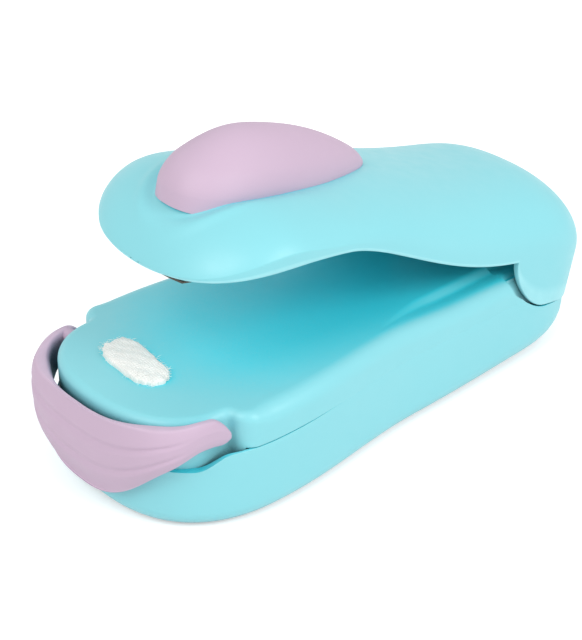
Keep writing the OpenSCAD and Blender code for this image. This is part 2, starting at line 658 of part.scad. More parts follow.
// Liner that closes the lever from below
liner_t = 1.2;
liner_lift = 0.4;
liner_gap = 0.4;
liner_step = 1.2;
liner_front = lever_tip + lever_wall + liner_step;
liner_back = -19.5;
liner_screw = [8, -27];
liner_steps = 24;
liner_sunk = 1.3;
liner_least = rim_nose + liner_sunk;
function liner_low(y) = max(lever_rim(y) + liner_lift, liner_least);
liner_seat = liner_low(liner_screw.y - boss_d / 2) + liner_t;
module at_liner_screws() both_sides() translate([liner_screw.x, liner_screw.y, liner_seat]) children();
// Plan of the lever from one place to another, d narrower than its skin t inside the outside
module lever_plan(y0, y1, t, d) {
  right = [for (u = steps(liner_steps)) let (y = mix(y0, y1, u)) [lever_half(y, t) - d, y]];
  polygon(concat(right, [for (q = turned(right)) [-q.x, q.y]]));
}

spring_y = -12.5;
spring_d = 6.4;
spring_wire = 0.7;
spring_turns = 7;
spring_per_turn = 8;
spring_seat = 2.2;
spring_rim = 1;
// Height of the spring's seat in the lever, with the lever open
spring_top = hinge_h - spring_y * sin(open_angle) + (crown_rear - lever_wall) * cos(open_angle) - spring_seat;

bite_l = 6;
bore_end = 0.1;
hollow_over = 4;
module lever_shell() color(TURQUOISE) opened() difference() {
  loft(lever_rings(0, 0), strips = false);
  difference() {
    loft(lever_rings(lever_wall, hollow_over), strips = false);
    lever_ribs();
  }
  translate([0, 0, pad_seat]) linear_extrude(height = far) pad_plan(pad_gap);
  ledge_room();
  at_liner_screws() cylinder(d = screw_d + 2 * bite_gap, h = bite_l + free_gap);
  across(0, 0) cylinder(d = pin_d + 2 * run_gap, h = pin_l + 2 * bore_end, center = true);
}
// Seat of the thumb pad, screw bosses, spring seat, switch post and the thick places of the ears
seat_t = 1.2;
seat_over = 0.4;
seat_wall = ledge_w + seat_over;
ear_boss_d = 9;
ear_boss_t = 0.7;
post_gap = 0.15;
module lever_ribs() {
  translate([0, 0, pad_seat - seat_t]) linear_extrude(height = far) pad_plan(pad_gap + seat_wall);
  at_liner_screws() cylinder(d = boss_d, h = far);
  both_sides() translate([hood_w / 2 - lever_wall - ear_boss_t, 0, 0]) across(0, 0)
    cylinder(d = ear_boss_d, h = far);
  translate([0, post_y, leaf_top + post_gap - hinge_h]) cylinder(d = post_d, h = far);
  rotate([open_angle, 0, 0]) translate([0, spring_y, spring_top - hinge_h])
    cylinder(d = spring_d + 2 * spring_rim, h = far);
}
module lever_liner() color(TURQUOISE) opened() difference() {
  intersection() {
    rotate([90, 0, 90]) linear_extrude(height = far, center = true) polygon(concat(
      [for (u = steps(liner_steps)) let (y = mix(liner_front, liner_back, u)) [y, liner_low(y)]],
      [for (u = steps(liner_steps)) let (y = mix(liner_back, liner_front, u)) [y, liner_low(y) + liner_t]]));
    linear_extrude(height = far, center = true) lever_plan(liner_front, liner_back, lever_wall, liner_gap);
  }
  at_liner_screws() cylinder(d = screw_d + 2 * free_gap, h = far, center = true);
}
liner_head_h = 1.2;
liner_face = liner_low(liner_screw.y + screw_head_d / 2) - liner_seat;
module lever_screws() color(STEEL) opened() at_liner_screws() {
  translate([0, 0, liner_face - liner_head_h]) cylinder(d = screw_head_d, h = liner_head_h);
  translate([0, 0, liner_face - eps]) cylinder(d = screw_d, h = bite_l - liner_face);
}

// Silicone strip under the nose; its lip shows below the front rim
press_w = 17;
press_l = 7.2;
press_lip = 0.4;
press_in = 0.4;
press_root = 1.4;
press_step = lever_wall + press_root;
press_low = rim_nose - press_lip;
press_tip = 0.5;
module pressure_pad() color(SILICONE) opened() intersection() {
  translate([-press_w / 2, lever_tip, press_low]) {
    cube([press_w, press_l, press_lip - bore_end]);
    translate([0, press_step, 0]) cube([press_w, press_l - press_step, liner_least - press_low]);
  }
  linear_extrude(height = far) lever_plan(lever_tip + press_tip, lever_bulb_y, press_in, 0);
}

// Return spring between the deck and the lever
spring_h = spring_top - deck_h;
spring_coil = coil(spring_d / 2, spring_d / 2, spring_h, spring_turns, spring_wire, spring_per_turn);
echo(return_spring_gap = coil_gap(spring_coil, spring_wire, spring_per_turn));
module return_spring() color(STEEL) translate([0, spring_y, deck_h]) tube(spring_coil, spring_wire, 6);

// Latch collar: a tapering band round the nose, hinged at the notches
latch_w = nose_w + 2 * latch_over;
latch_half = latch_w / 2;
latch_tip = tip_y - latch_gap - latch_t;
latch_steps = 26;
latch_p = 2.4;
latch_tail = 1;
latch_turn = 102;
latch_soft = 0.8;
latch_crease = 0.25;
latch_bulge = 0.12;
latch_below = 1.6;
latch_above = 1.6;
tail_least = 0.3;
function latch_low_z(b) = mix(latch_low, latch_h - latch_below, pow(sin(b), 2));
function latch_high_z(b) = mix(deck_h - latch_drop, latch_h + latch_above, pow(sin(b), 2));
// Point of the band at angle a from the nose tip, d inside its outer face
function latch_xy(a, d) = let (b = min(90, abs(a)), over = max(0, abs(a) - 90) / (latch_turn - 90))
  [sign(a) * (latch_half - d) * pow(sin(b), 2 / latch_p),
   latch_y + over * latch_tail - (latch_y - latch_tip - d) * pow(cos(b), 2 / latch_p)];
function latch_ring(a) = let (
  b = min(90, abs(a)), over = max(0, abs(a) - 90) / (latch_turn - 90),
  out = latch_xy(a, 0), edge = latch_xy(a, latch_t * latch_bulge), in = latch_xy(a, latch_t),
  fade = max(tail_least, super(over, 2)),
  mid = (latch_low_z(b) + latch_high_z(b)) / 2,
  half = (latch_high_z(b) - latch_low_z(b)) / 2 * fade,
  soft = min(latch_soft, half / 3))
  [[in.x, in.y, mid - half + soft / 2], [edge.x, edge.y, mid - half], [out.x, out.y, mid - half + soft],
   [out.x, out.y, mid + latch_crease * half], [edge.x, edge.y, mid + half - soft],
   [(edge.x + in.x) / 2, (edge.y + in.y) / 2, mid + half], [in.x, in.y, mid + half - soft / 2]];
nose_at_pin = nose_w / 2 * super((notch_y - latch_y) / nose_l, nose_p);
latch_cheek = 0.1;
latch_skin = 0.8;
latch_boss = 2.6;
pin_in = 3.4;
module latch_collar() color(LILAC) difference() {
  union() {
    loft([for (u = steps(latch_steps)) latch_ring(mix(latch_turn, -latch_turn, u))], strips = false);
    both_sides() translate([nose_w / 2 + latch_cheek, 0, 0]) across(latch_y, latch_h)
      cylinder(d = latch_boss, h = latch_half - latch_skin - nose_w / 2 - latch_cheek);
  }
  across(latch_y, latch_h)
    cylinder(d = latch_pin_d + 2 * bite_gap, h = latch_w - 2 * latch_skin, center = true);
}
module latch_pins() color(STEEL) both_sides() translate([nose_at_pin - pin_in, 0, 0]) across(latch_y, latch_h)
  cylinder(d = latch_pin_d, h = latch_half - latch_skin - nose_at_pin + pin_in);

// Slide along Y that puts the middle of the whole object over the origin
rear_most = max([for (r = lever_rings(0, 0), q = r) q.y * cos(open_angle) + q.z * sin(open_angle)]);
shift_y = -(latch_tip + rear_most) / 2;
echo(hinge = [0, shift_y, hinge_h], latch = [0, shift_y + latch_y, latch_h], door_y = shift_y + door_y);
module placed() translate([0, shift_y, 0]) children();

placed() base_tray();
placed() base_deck();
placed() battery_door();
placed() cell_left();
placed() cell_right();
placed() front_link();
placed() rear_plus_plate();
placed() rear_minus_plate();
placed() cell_springs();
placed() switch_leaf();
placed() switch_contact();
placed() heater_holder();
placed() heater_ribbon();
placed() heater_cover();
placed() lead_wire_feed();
placed() lead_wire_return();
placed() base_screws();
placed() hinge_pin();
placed() return_spring();
placed() lever_shell();
placed() thumb_pad();
placed() lever_liner();
placed() lever_screws();
placed() pressure_pad();
placed() latch_collar();
placed() latch_pins();
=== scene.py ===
import json
import math

import bmesh
import bpy
import numpy as np
from mathutils import Matrix, Vector


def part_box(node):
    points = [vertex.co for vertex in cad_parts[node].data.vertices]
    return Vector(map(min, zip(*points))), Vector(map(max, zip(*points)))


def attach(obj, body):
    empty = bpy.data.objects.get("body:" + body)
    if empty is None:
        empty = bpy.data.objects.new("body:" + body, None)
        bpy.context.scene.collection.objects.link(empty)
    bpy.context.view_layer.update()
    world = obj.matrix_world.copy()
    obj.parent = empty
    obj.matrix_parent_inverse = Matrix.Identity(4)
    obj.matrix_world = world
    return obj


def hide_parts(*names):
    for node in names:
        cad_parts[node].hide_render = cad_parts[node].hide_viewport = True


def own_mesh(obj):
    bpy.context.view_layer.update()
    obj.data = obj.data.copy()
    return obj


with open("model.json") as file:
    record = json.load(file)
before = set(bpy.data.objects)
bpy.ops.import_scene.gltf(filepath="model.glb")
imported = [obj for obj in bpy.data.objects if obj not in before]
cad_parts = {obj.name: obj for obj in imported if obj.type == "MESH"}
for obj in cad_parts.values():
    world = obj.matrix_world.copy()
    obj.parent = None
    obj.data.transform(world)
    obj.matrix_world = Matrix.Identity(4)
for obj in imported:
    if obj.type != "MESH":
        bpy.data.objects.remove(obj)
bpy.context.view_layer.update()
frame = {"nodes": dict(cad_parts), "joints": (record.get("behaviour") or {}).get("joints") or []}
nodes = frame["nodes"]

# Base tray
# The lower half of the base: one thin moulding in satin turquoise plastic with a rounded foot.
# The deck is screwed on to it from below, and its underside has the battery door and four screw wells.
MM = 0.001
joint_at = {j["name"]: np.array(j["pos_m"]) / MM for j in frame["joints"]}
hinge = joint_at["lever_press"]
hinge_h = hinge[2]


def ease(u):
    """Half a cosine wave from 0 to 1."""
    return 0.5 - 0.5 * np.cos(np.pi * np.clip(u, 0, 1))


def grows(at, start, run):
    """0 up to the start, easing to 1 over the run."""
    return ease((at - start) / run)


def fades(at, start, run):
    """1 up to the start, easing to 0 over the run."""
    return 1 - ease((at - start) / run)


def hump(q, at, run):
    """A smooth hump of height 1: e to the power of minus the square of the distance from its place over its run."""
    return np.exp(-(((q - at) / run) ** 2))


def mix(a, b, u):
    """Straight line from a at u = 0 to b at u = 1."""
    return a + (b - a) * u


def superellipse(t, p):
    """Height over the place t of the curve t^p + s^p = 1."""
    return np.maximum(0, 1 - np.clip(t, 0, 1) ** p) ** (1 / p)


def round_end(y0, half, length, p, count):
    """Half of a rounded end: x = half cos^(2/p) a and y = y0 - length sin^(2/p) a, for a from 90 to 0 degrees."""
    a = np.linspace(np.pi / 2, 0, count)
    return np.column_stack([half * np.abs(np.cos(a)) ** (2 / p), y0 - length * np.sin(a) ** (2 / p)])


def inset(half, d):
    """A half outline moved inwards, square to itself, by d at each point; its ends stay on the middle plane."""
    d = np.broadcast_to(d, len(half)).astype(float)
    along = np.gradient(half, axis=0)
    along /= np.linalg.norm(along, axis=1)[:, None]
    moved = half + d[:, None] * np.column_stack([-along[:, 1], along[:, 0]])
    moved[:, 0] = np.maximum(moved[:, 0], 0.05)
    moved[0] = [0, half[0, 1] + d[0]]
    moved[-1] = [0, half[-1, 1] - d[-1]]
    return moved


def loop(half, z):
    """A half outline and its mirror image as one closed row of points at the heights z."""
    right = np.column_stack([half, np.broadcast_to(z, len(half))])
    return np.concatenate([right, right[-2:0:-1] * [-1, 1, 1]])


def skin(name, grids, finish, edges=None, extra=None, sharp=38):
    """One object from grids of points, in mm from the hinge: a four-sided face between each two rows and columns,
    the columns joined round, and the end rows, whose points run together, merged. edges is each point's wear."""
    points, faces, worn, start = [], [], [], 0
    for k, grid in enumerate(grids):
        grid = grid if grid.ndim == 4 else grid[None]
        at = start + np.arange(grid[..., 0].size).reshape(grid.shape[:3])
        nxt = np.roll(at, -1, 2)
        faces.append(np.stack([at[:, :-1], nxt[:, :-1], nxt[:, 1:], at[:, 1:]], -1).reshape(-1, 4))
        points.append(grid.reshape(-1, 3))
        worn.append(np.broadcast_to(edges[k] if edges else 0.0, grid.shape[:3]).ravel())
        start += grid[..., 0].size
    points = (np.concatenate(points) + [0, hinge[1], 0]) * MM
    mesh = bpy.data.meshes.new(name)
    mesh.from_pydata(points.tolist(), [], np.concatenate(faces).tolist())
    wear = mesh.attributes.new("edge", "FLOAT", "POINT")
    wear.data.foreach_set("value", np.concatenate(worn).astype(np.float32))
    for key, value in (extra or {}).items():
        layer = mesh.attributes.new(key, "FLOAT_VECTOR", "POINT")
        layer.data.foreach_set("vector", value.astype(np.float32).ravel())
    bm = bmesh.new()
    bm.from_mesh(mesh)
    bmesh.ops.remove_doubles(bm, verts=bm.verts, dist=2e-6)
    bmesh.ops.dissolve_degenerate(bm, edges=bm.edges, dist=1e-7)
    bmesh.ops.recalc_face_normals(bm, faces=bm.faces)
    bm.to_mesh(mesh)
    bm.free()
    mesh.materials.append(finish)
    mesh.shade_smooth()
    mesh.set_sharp_from_angle(angle=math.radians(sharp))
    piece = bpy.data.objects.new(name, mesh)
    bpy.context.scene.collection.objects.link(piece)
    return piece


def fitted(piece, body, slot, *stands_for):
    """The piece rides on its body and stands for the CAD nodes, which are hidden; slot is not used."""
    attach(piece, body)
    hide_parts(*stands_for)


def cut_away(piece, cutter, sharp=38):
    """Takes the cutter's solid out of the piece and removes the cutter."""
    change = piece.modifiers.new("cut", "BOOLEAN")
    change.object = cutter
    change.operation = "DIFFERENCE"
    change.solver = "EXACT"
    bpy.context.view_layer.update()
    made = bpy.data.meshes.new_from_object(piece.evaluated_get(bpy.context.evaluated_depsgraph_get()))
    piece.modifiers.clear()
    piece.data = made
    made.set_sharp_from_angle(angle=math.radians(sharp))
    bpy.data.objects.remove(cutter)


def socket_group(name, inputs, outputs):
    """An empty shader node group with its named sockets, and its input and output nodes."""
    group = bpy.data.node_groups.new(name, "ShaderNodeTree")
    for key, kind, value in inputs:
        group.interface.new_socket(key, in_out="INPUT", socket_type=kind).default_value = value
    for key, kind in outputs:
        group.interface.new_socket(key, in_out="OUTPUT", socket_type=kind)
    return group, group.nodes.new("NodeGroupInput").outputs, group.nodes.new("NodeGroupOutput").inputs


def add(tree, kind, links=None, values=None, **settings):
    """A node with its settings, socket values and linked inputs; its outputs are returned."""
    made = tree.nodes.new(kind)
    for key, value in settings.items():
        setattr(made, key, value)
    for key, value in (values or {}).items():
        made.inputs[key].default_value = value
    for key, source in (links or {}).items():
        tree.links.new(source, made.inputs[key])
    return made.outputs


def blend_colours(tree, factor, a, b):
    """The colour between a and b; a plain number or colour is set on the socket."""
    made = tree.nodes.new("ShaderNodeMix")
    made.data_type = "RGBA"
    for key, source in ((0, factor), (6, a), (7, b)):
        if isinstance(source, bpy.types.NodeSocket):
            tree.links.new(source, made.inputs[key])
        else:
            made.inputs[key].default_value = source
    return made.outputs[2]


def remap(tree, value, low, high, to_low, to_high):
    """The value moved from the range low..high to the range to_low..to_high."""
    return add(tree, "ShaderNodeMapRange", {0: value}, {1: low, 2: high, 3: to_low, 4: to_high})[0]


def combine(tree, operation, a, b):
    """A Math node over two sockets."""
    return add(tree, "ShaderNodeMath", {0: a, 1: b}, operation=operation)[0]


def noise(tree, at, scale, detail):
    """A noise over the places that a socket gives."""
    return add(tree, "ShaderNodeTexNoise", {"Vector": at}, {"Scale": scale, "Detail": detail})[0]


def moulded_surface():
    """Node group of a moulded plastic face: a fine grain, slow changes of gloss and tint, paler worn edges, painted
    shade in a fuller tint on upper faces that other parts cover, and painted dark shade in narrow gaps."""
    tree, given, out = socket_group("moulded_surface", [
        ("Colour", "NodeSocketColor", (1, 1, 1, 1)), ("Deep colour", "NodeSocketColor", (0.5, 0.5, 0.5, 1)),
        ("Edge colour", "NodeSocketColor", (1, 1, 1, 1)), ("Painted shade colour", "NodeSocketColor", (0.5, 0.5, 0.5, 1)),
        ("Edge", "NodeSocketFloat", 0.0), ("Grain size", "NodeSocketFloat", 4000.0),
        ("Roughness", "NodeSocketFloat", 0.4)],
        [("Colour", "NodeSocketColor"), ("Roughness", "NodeSocketFloat"), ("Height", "NodeSocketFloat")])
    place = add(tree, "ShaderNodeTexCoord")["Object"]
    grain = add(tree, "ShaderNodeTexNoise", {"Vector": place, "Scale": given["Grain size"]}, {"Detail": 3.0})[0]
    gloss = noise(tree, place, 420.0, 4.0)
    slow = noise(tree, place, 38.0, 2.0)
    tinted = blend_colours(tree, remap(tree, slow, 0.35, 0.7, 0.0, 0.3), given["Colour"], given["Deep colour"])
    broken = combine(tree, "MULTIPLY", given["Edge"], remap(tree, gloss, 0.3, 0.7, 0.5, 1.0))
    tinted = blend_colours(tree, broken, tinted, given["Edge colour"])
    facing = add(tree, "ShaderNodeSeparateXYZ", {0: add(tree, "ShaderNodeNewGeometry")["Normal"]})["Z"]
    # Painted shade: upward faces that other parts cover within 45 mm take the fuller covered colour, as under the lever
    hidden = add(tree, "ShaderNodeAmbientOcclusion", None, {"Distance": 0.045}, samples=8)["AO"]
    painted_shade = combine(tree, "MULTIPLY", remap(tree, hidden, 0.65, 0.45, 0.0, 1.0),
                      remap(tree, facing, 0.5, 0.95, 0.0, 1.0))
    tinted = blend_colours(tree, painted_shade, tinted, given["Painted shade colour"])
    # Painted shade: narrow gaps within 6 mm are darkened towards a dark teal
    close = add(tree, "ShaderNodeAmbientOcclusion", None, {"Distance": 0.006}, samples=8)["AO"]
    gap = remap(tree, close, 0.28, 0.1, 0.0, 0.85)
    painted_gap_shade = (0.006, 0.07, 0.1, 1)
    tree.links.new(blend_colours(tree, gap, tinted, painted_gap_shade), out["Colour"])
    shift = remap(tree, gloss, 0.3, 0.7, -0.05, 0.05)
    tree.links.new(combine(tree, "ADD", given["Roughness"], shift), out["Roughness"])
    tree.links.new(grain, out["Height"])
    return tree


def shader(name):
    """A new node material with its tree and its Principled shader."""
    made = bpy.data.materials.new(name)
    made.use_nodes = True
    return made, made.node_tree, made.node_tree.nodes["Principled BSDF"].inputs


def bumped(tree, height, sockets, distance, strength):
    """A Bump node over the height, fed to the shader's Normal."""
    bump = add(tree, "ShaderNodeBump", {"Height": height}, {"Strength": strength, "Distance": distance})
    tree.links.new(bump[0], sockets["Normal"])


surface = moulded_surface()


def moulded_plastic(name, colour, deep, edge, painted_shade, grain, roughness, gloss):
    """Moulded plastic in the moulded_surface group's grain."""
    made, tree, sockets = shader(name)
    worn = add(tree, "ShaderNodeAttribute", attribute_name="edge")["Fac"]
    face = add(tree, "ShaderNodeGroup", node_tree=surface)
    face_in = tree.nodes[-1].inputs
    for key, value in (("Colour", colour), ("Deep colour", deep), ("Edge colour", edge), ("Painted shade colour", painted_shade)):
        face_in[key].default_value = (*value, 1)
    face_in["Grain size"].default_value = grain
    face_in["Roughness"].default_value = roughness
    tree.links.new(worn, face_in["Edge"])
    tree.links.new(face["Colour"], sockets["Base Color"])
    tree.links.new(face["Roughness"], sockets["Roughness"])
    sockets["Specular IOR Level"].default_value = gloss
    bumped(tree, face["Height"], sockets, 0.00004, 0.25)
    return made


# The covered colour is painted shade: the fuller tint given where other parts cover an upper face
turquoise = moulded_plastic("turquoise_plastic", colour=(0.235, 0.63, 0.69), deep=(0.215, 0.60, 0.665),
                            edge=(0.38, 0.76, 0.81), painted_shade=(0.045, 0.66, 0.775), grain=5200.0, roughness=0.4,
                            gloss=0.5)

tip_y, bulb_y, waist_y, rear_y, end_y = -78.5, -58.0, -28.5, -4.5, 12.5
bulb_half, waist_half, rear_half = 20.2, 17.7, 17.4
nose_p, rear_p, ear_p = 2.45, 2.9, 1.6
base_wall, seam_h, ledge_h = 1.6, 12.7, 9.5
foot_front, foot_rear, foot_p, foot_room = 3.0, 7.6, 4.5, 0.5
seam_open, seam_r_front, seam_r_rear, seam_fade, rim_wear = 0.16, 0.06, 0.01, 12.0, 0.35
drop_h, drop_x, drop_y, drop_run = 2.3, 9.0, -67.5, 5.0
thin_rim, thin_y, thin_run = 0.45, -66.0, 6.0


def base_side(y):
    """Half the base's width along its sides: it eases from the bulb to the waist and from the waist to the rear."""
    front = mix(bulb_half, waist_half, ease((y - bulb_y) / (waist_y - bulb_y)))
    back = mix(waist_half, rear_half, ease((y - waist_y) / (rear_y - waist_y)))
    return np.where(y < waist_y, front, back)


recess_y, recess_l, recess_top, recess_drop = 1.0, 9.75, 3.0, 9.2
open_angle = math.radians(13)
recess_slope = math.tan(open_angle)


def recess(y):
    """Height of the cut in which the lever's ears and hood stand: a superellipse in front, a slope behind."""
    front = recess_top - recess_drop * superellipse((recess_y - y) / recess_l, ear_p)
    back = recess_top - recess_drop - recess_slope * (y - recess_y)
    return hinge_h + np.where(y < recess_y - recess_l, np.inf, np.where(y < recess_y, front, back))


def seam_closed(y):
    """How far the seam has closed along the base, from 0 at the bulb to 1 behind it."""
    return grows(y, bulb_y, seam_fade)


mid_y = np.linspace(bulb_y, rear_y, 110)[1:-1]
base_rear = round_end(-rear_y, rear_half, end_y - rear_y, rear_p, 60)[::-1] * [1, -1]
base_half = np.concatenate([round_end(bulb_y, bulb_half, bulb_y - tip_y, nose_p, 70),
                            np.column_stack([base_side(mid_y), mid_y]), base_rear])
base_at = base_half[:, 1]
# The seam is open by a hair from the notch to the bulb; beside the collar the rim is thin and falls away
slit = seam_open * (1 - seam_closed(base_at))
dropped = drop_h * ease((drop_y - base_at) / drop_run) * ease((base_half[:, 0] - drop_x) / drop_run)
tray_top = np.minimum(seam_h - slit - dropped, recess(base_at))
seam_round = mix(seam_r_front, seam_r_rear, seam_closed(base_at))
foot = np.minimum(mix(foot_front, foot_rear, ((base_at - tip_y) / (end_y - tip_y)) ** foot_p), tray_top - foot_room)
rim_t = mix(base_wall, thin_rim, hump(base_at, thin_y, thin_run))

turn = np.linspace(0, np.pi / 2, 10)
share = np.linspace(0, 1, 6)
under = [loop(inset(base_half, foot) * [s, 1], 0) for s in share]
side = [loop(inset(base_half, foot * (1 - np.sin(a))), foot * (1 - np.cos(a))) for a in turn[1:]]
wall = [loop(base_half, mix(foot, tray_top - seam_round, u)) for u in share[1:]]
lip = [loop(inset(base_half, seam_round * (1 - np.cos(a))), tray_top - seam_round * (1 - np.sin(a)))
       for a in turn[2::2]]
inner_foot = foot - base_wall
inside = [loop(inset(base_half, rim_t), tray_top), loop(inset(base_half, base_wall), np.minimum(tray_top, ledge_h))]
inside += [loop(inset(base_half, base_wall + inner_foot * (1 - np.sin(a))), base_wall + inner_foot * (1 - np.cos(a)))
           for a in turn[::-3]]
floor_rows = [loop(inset(base_half, foot) * [s, 1], base_wall) for s in (0.5, 0.0)]
tray_rows = under + side + wall + lip + inside + floor_rows
tray_edge = np.zeros((len(tray_rows), len(tray_rows[0])))
rim_at = len(under + side + wall)
worn_rim = rim_wear * (1 - seam_closed(base_at))
tray_edge[rim_at:rim_at + len(lip)] = np.concatenate([worn_rim, worn_rim[-2:0:-1]])
base_tray = skin("base_tray_shell", [np.stack(tray_rows)], turquoise, [tray_edge])


def from_hinge(box):
    """The two corners of a packed box, in mm from the hinge."""
    return [np.array(c) / MM - [0, hinge[1], 0] for c in box]


door_lo, door_hi = from_hinge(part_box("battery_door"))
door_gap, door_hook = 0.2, 1.8
well_r, well_h, cut_room = 2.4, 2.4, 1.0


def prism(outline, low, high):
    """A closed upright solid over an outline: its two ends are drawn together at the outline's middle."""
    middle = np.broadcast_to(outline.mean(0), outline.shape)
    return np.stack([np.column_stack([q, np.full(len(q), z)])
                     for q, z in ((middle, low), (outline, low), (outline, high), (middle, high))])


round_turn = np.linspace(0, 2 * np.pi, 48, endpoint=False)
circle = np.column_stack([np.cos(round_turn), np.sin(round_turn)])
screw_at = np.array([[12.8, -67.0], [6.5, 4.2], [-12.8, -67.0], [-6.5, 4.2]])
wells = [prism(circle * well_r + q, -cut_room, well_h) for q in screw_at]
door_x = door_hi[0] + door_gap
door_y0, door_y1 = door_lo[1] + door_hook - door_gap, door_hi[1] + door_gap
door_rect = np.array([[door_x, door_y0], [door_x, door_y1], [-door_x, door_y1], [-door_x, door_y0]])
cut_away(base_tray, skin("tray_cutter", [*wells, prism(door_rect, -cut_room, base_wall + cut_room)], turquoise))
fitted(base_tray, "base", "turquoise_plastic", "base_tray")

# Base deck
# The upper half of the base, moulded in the same plastic. It carries the nose platform with the heated strip, the
# notches for the collar's ends and, behind, the core that stands between the lever's ears.
deck_h, deck_r, nose_r, nose_run = 18.2, 2.7, 1.4, 6.0
nose_half, notch_y, shoulder_y, deck_nose_p = 16.4, -66.3, -62.8, 2.25
core_in, core_back, core_from, core_l, core_p = 1.15, 7.0, -3.0, 10.5, 3.0
cut_lean, run_on, side_n, step_n, core_n, back_n = 0.12, 0.4, 129, 5, 13, 7
ridge_drop, ridge_y, ridge_run, ridge_flat, ridge_p = 0.95, -36.0, 18.0, 0.6, 0.8
ridge_front, ridge_rear, widen_y, widen_run = 0.4, 3.2, -38.0, 14.0
nose_skirt, core_skirt, skirt_clear, skirt_run, switch_half = 4.5, 4.7, 0.6, 0.5, 5.0
deck_roof = deck_h - base_wall


def nose_width(y):
    """Half the base's width in its rounded nose: a superellipse."""
    return bulb_half * superellipse((bulb_y - y) / (bulb_y - tip_y), nose_p)


def evened(line, step):
    """A line of points spaced evenly along itself."""
    run = np.concatenate([[0], np.cumsum(np.linalg.norm(np.diff(line, axis=0), axis=1))])
    at = np.linspace(0, run[-1], int(run[-1] / step) + 1)
    return np.column_stack([np.interp(at, run, line[:, k]) for k in (0, 1)])


quarter = np.linspace(0, np.pi / 2, 20)[1:]
shoulder = np.column_stack([mix(nose_half, nose_width(shoulder_y), np.sin(quarter)),
                            mix(notch_y, shoulder_y, 1 - np.cos(quarter))])
bulb_run = np.linspace(shoulder_y, bulb_y, 20)[1:]
deck_front = np.concatenate([round_end(notch_y, nose_half, notch_y - tip_y, deck_nose_p, 60), shoulder,
                             np.column_stack([nose_width(bulb_run), bulb_run])])
deck_front = evened(deck_front, step=0.25)
# The corners of the notch are softened by averaging the outline over a short stretch
reach, soft_area, soft_gain = 3, 9.0, 1.4
window = np.ones(2 * reach + 1) / (2 * reach + 1)
soft = np.column_stack([np.convolve(np.pad(deck_front[:, k], reach, mode="edge"), window, "valid") for k in (0, 1)])
near_notch = np.exp(-(((deck_front - [nose_half, notch_y]) ** 2).sum(1)) / soft_area)[:, None]
deck_front = mix(deck_front, soft, np.clip(near_notch * soft_gain, 0, 1))


def deck_outline(z, d):
    """Half the deck's outline at height z, moved in by d: the nose and sides up to the ears' cut, then the core."""
    d = np.broadcast_to(d, len(deck_front) + side_n + step_n + core_n + back_n)
    depth = np.clip((recess_top + hinge_h - z) / recess_drop, 0, 1)
    cut_y = recess_y - recess_l * superellipse(depth, ear_p) - cut_lean * d[-1]
    run_y = np.linspace(bulb_y, cut_y, side_n + 1)[1:]
    sides = np.concatenate([deck_front, np.column_stack([base_side(run_y), run_y])])
    beyond = sides[-1:] + [0, run_on]
    sides = inset(np.concatenate([sides, beyond]), np.append(d[:len(sides)], 0))[:-1]
    core_x, core_y = rear_half - core_in - d[-1], core_back - d[-1]
    step = np.column_stack([np.linspace(sides[-1, 0], core_x, step_n + 1)[1:], np.full(step_n, cut_y)])
    core_at = np.linspace(cut_y, core_y, core_n + 1)[1:]
    core = np.column_stack([core_x * superellipse((core_at - core_from) / core_l, core_p), core_at])
    back = np.column_stack([np.linspace(core[-1, 0], 0, back_n + 1)[1:], np.full(back_n, core_y)])
    return np.concatenate([sides, step, core, back])


plain = deck_outline(deck_h, 0)
deck_y = plain[:, 1]
on_side = np.arange(len(deck_y)) < len(deck_front) + side_n
step_h = ridge_drop * grows(deck_y, ridge_y, ridge_run)
ridge_w = mix(ridge_front, ridge_rear, grows(deck_y, widen_y, widen_run))
deck_edge = mix(nose_r, deck_r, grows(deck_y, notch_y, nose_run))
deck_top = deck_h - step_h
# Beside the collar, and round the core up to the switch's contact, the wall goes on down inside the tray's rim
within = nose_width(deck_y) - plain[:, 0]
by_collar = nose_skirt * grows(within, skirt_clear, skirt_run)
by_core = np.where(on_side | (plain[:, 0] < switch_half), 0, core_skirt)
deck_low = seam_h - np.where(deck_y < shoulder_y, by_collar, by_core)
deck_rows = [loop(deck_outline(seam_h, base_wall) * [s, 1], deck_roof) for s in (0.0, 0.5, 1.0)]
deck_rows += [loop(deck_outline(seam_h, base_wall), deck_low)]
seam_deck = np.where(on_side, mix(seam_r_front, seam_r_rear, seam_closed(deck_y)), 2 * seam_r_rear)
deck_rows += [loop(deck_outline(seam_h, seam_deck * (1 - np.sin(a))), deck_low + seam_deck * (1 - np.cos(a)))
              for a in turn[::3]]
for u in np.linspace(0, 1, 9)[1:]:
    z = mix(seam_h, deck_h - deck_r, u)
    deck_rows.append(loop(deck_outline(z, 0), mix(deck_low + 0.1, deck_top - deck_edge, u)))
for a in np.linspace(0, np.pi / 2, 12)[1:]:
    z = deck_h - deck_r * (1 - math.sin(a))
    deck_rows.append(loop(deck_outline(z, deck_edge * (1 - math.cos(a))), deck_top - deck_edge * (1 - math.sin(a))))
for u in np.linspace(0, 1, 12)[1:]:
    climbed = step_h * ease(u * (1 + ridge_flat) - ridge_flat) ** ridge_p
    deck_rows.append(loop(deck_outline(deck_h, deck_edge + ridge_w * u), deck_top + climbed))
plateau = deck_outline(deck_h, deck_edge + ridge_w)
plateau[:, 1] = np.maximum.accumulate(plateau[:, 1])
deck_rows += [loop(plateau * [s, 1], deck_h) for s in (0.8, 0.6, 0.4, 0.2, 0.0)]
base_deck = skin("base_deck_shell", [np.stack(deck_rows)], turquoise)
fitted(base_deck, "base", "turquoise_plastic", "base_deck")
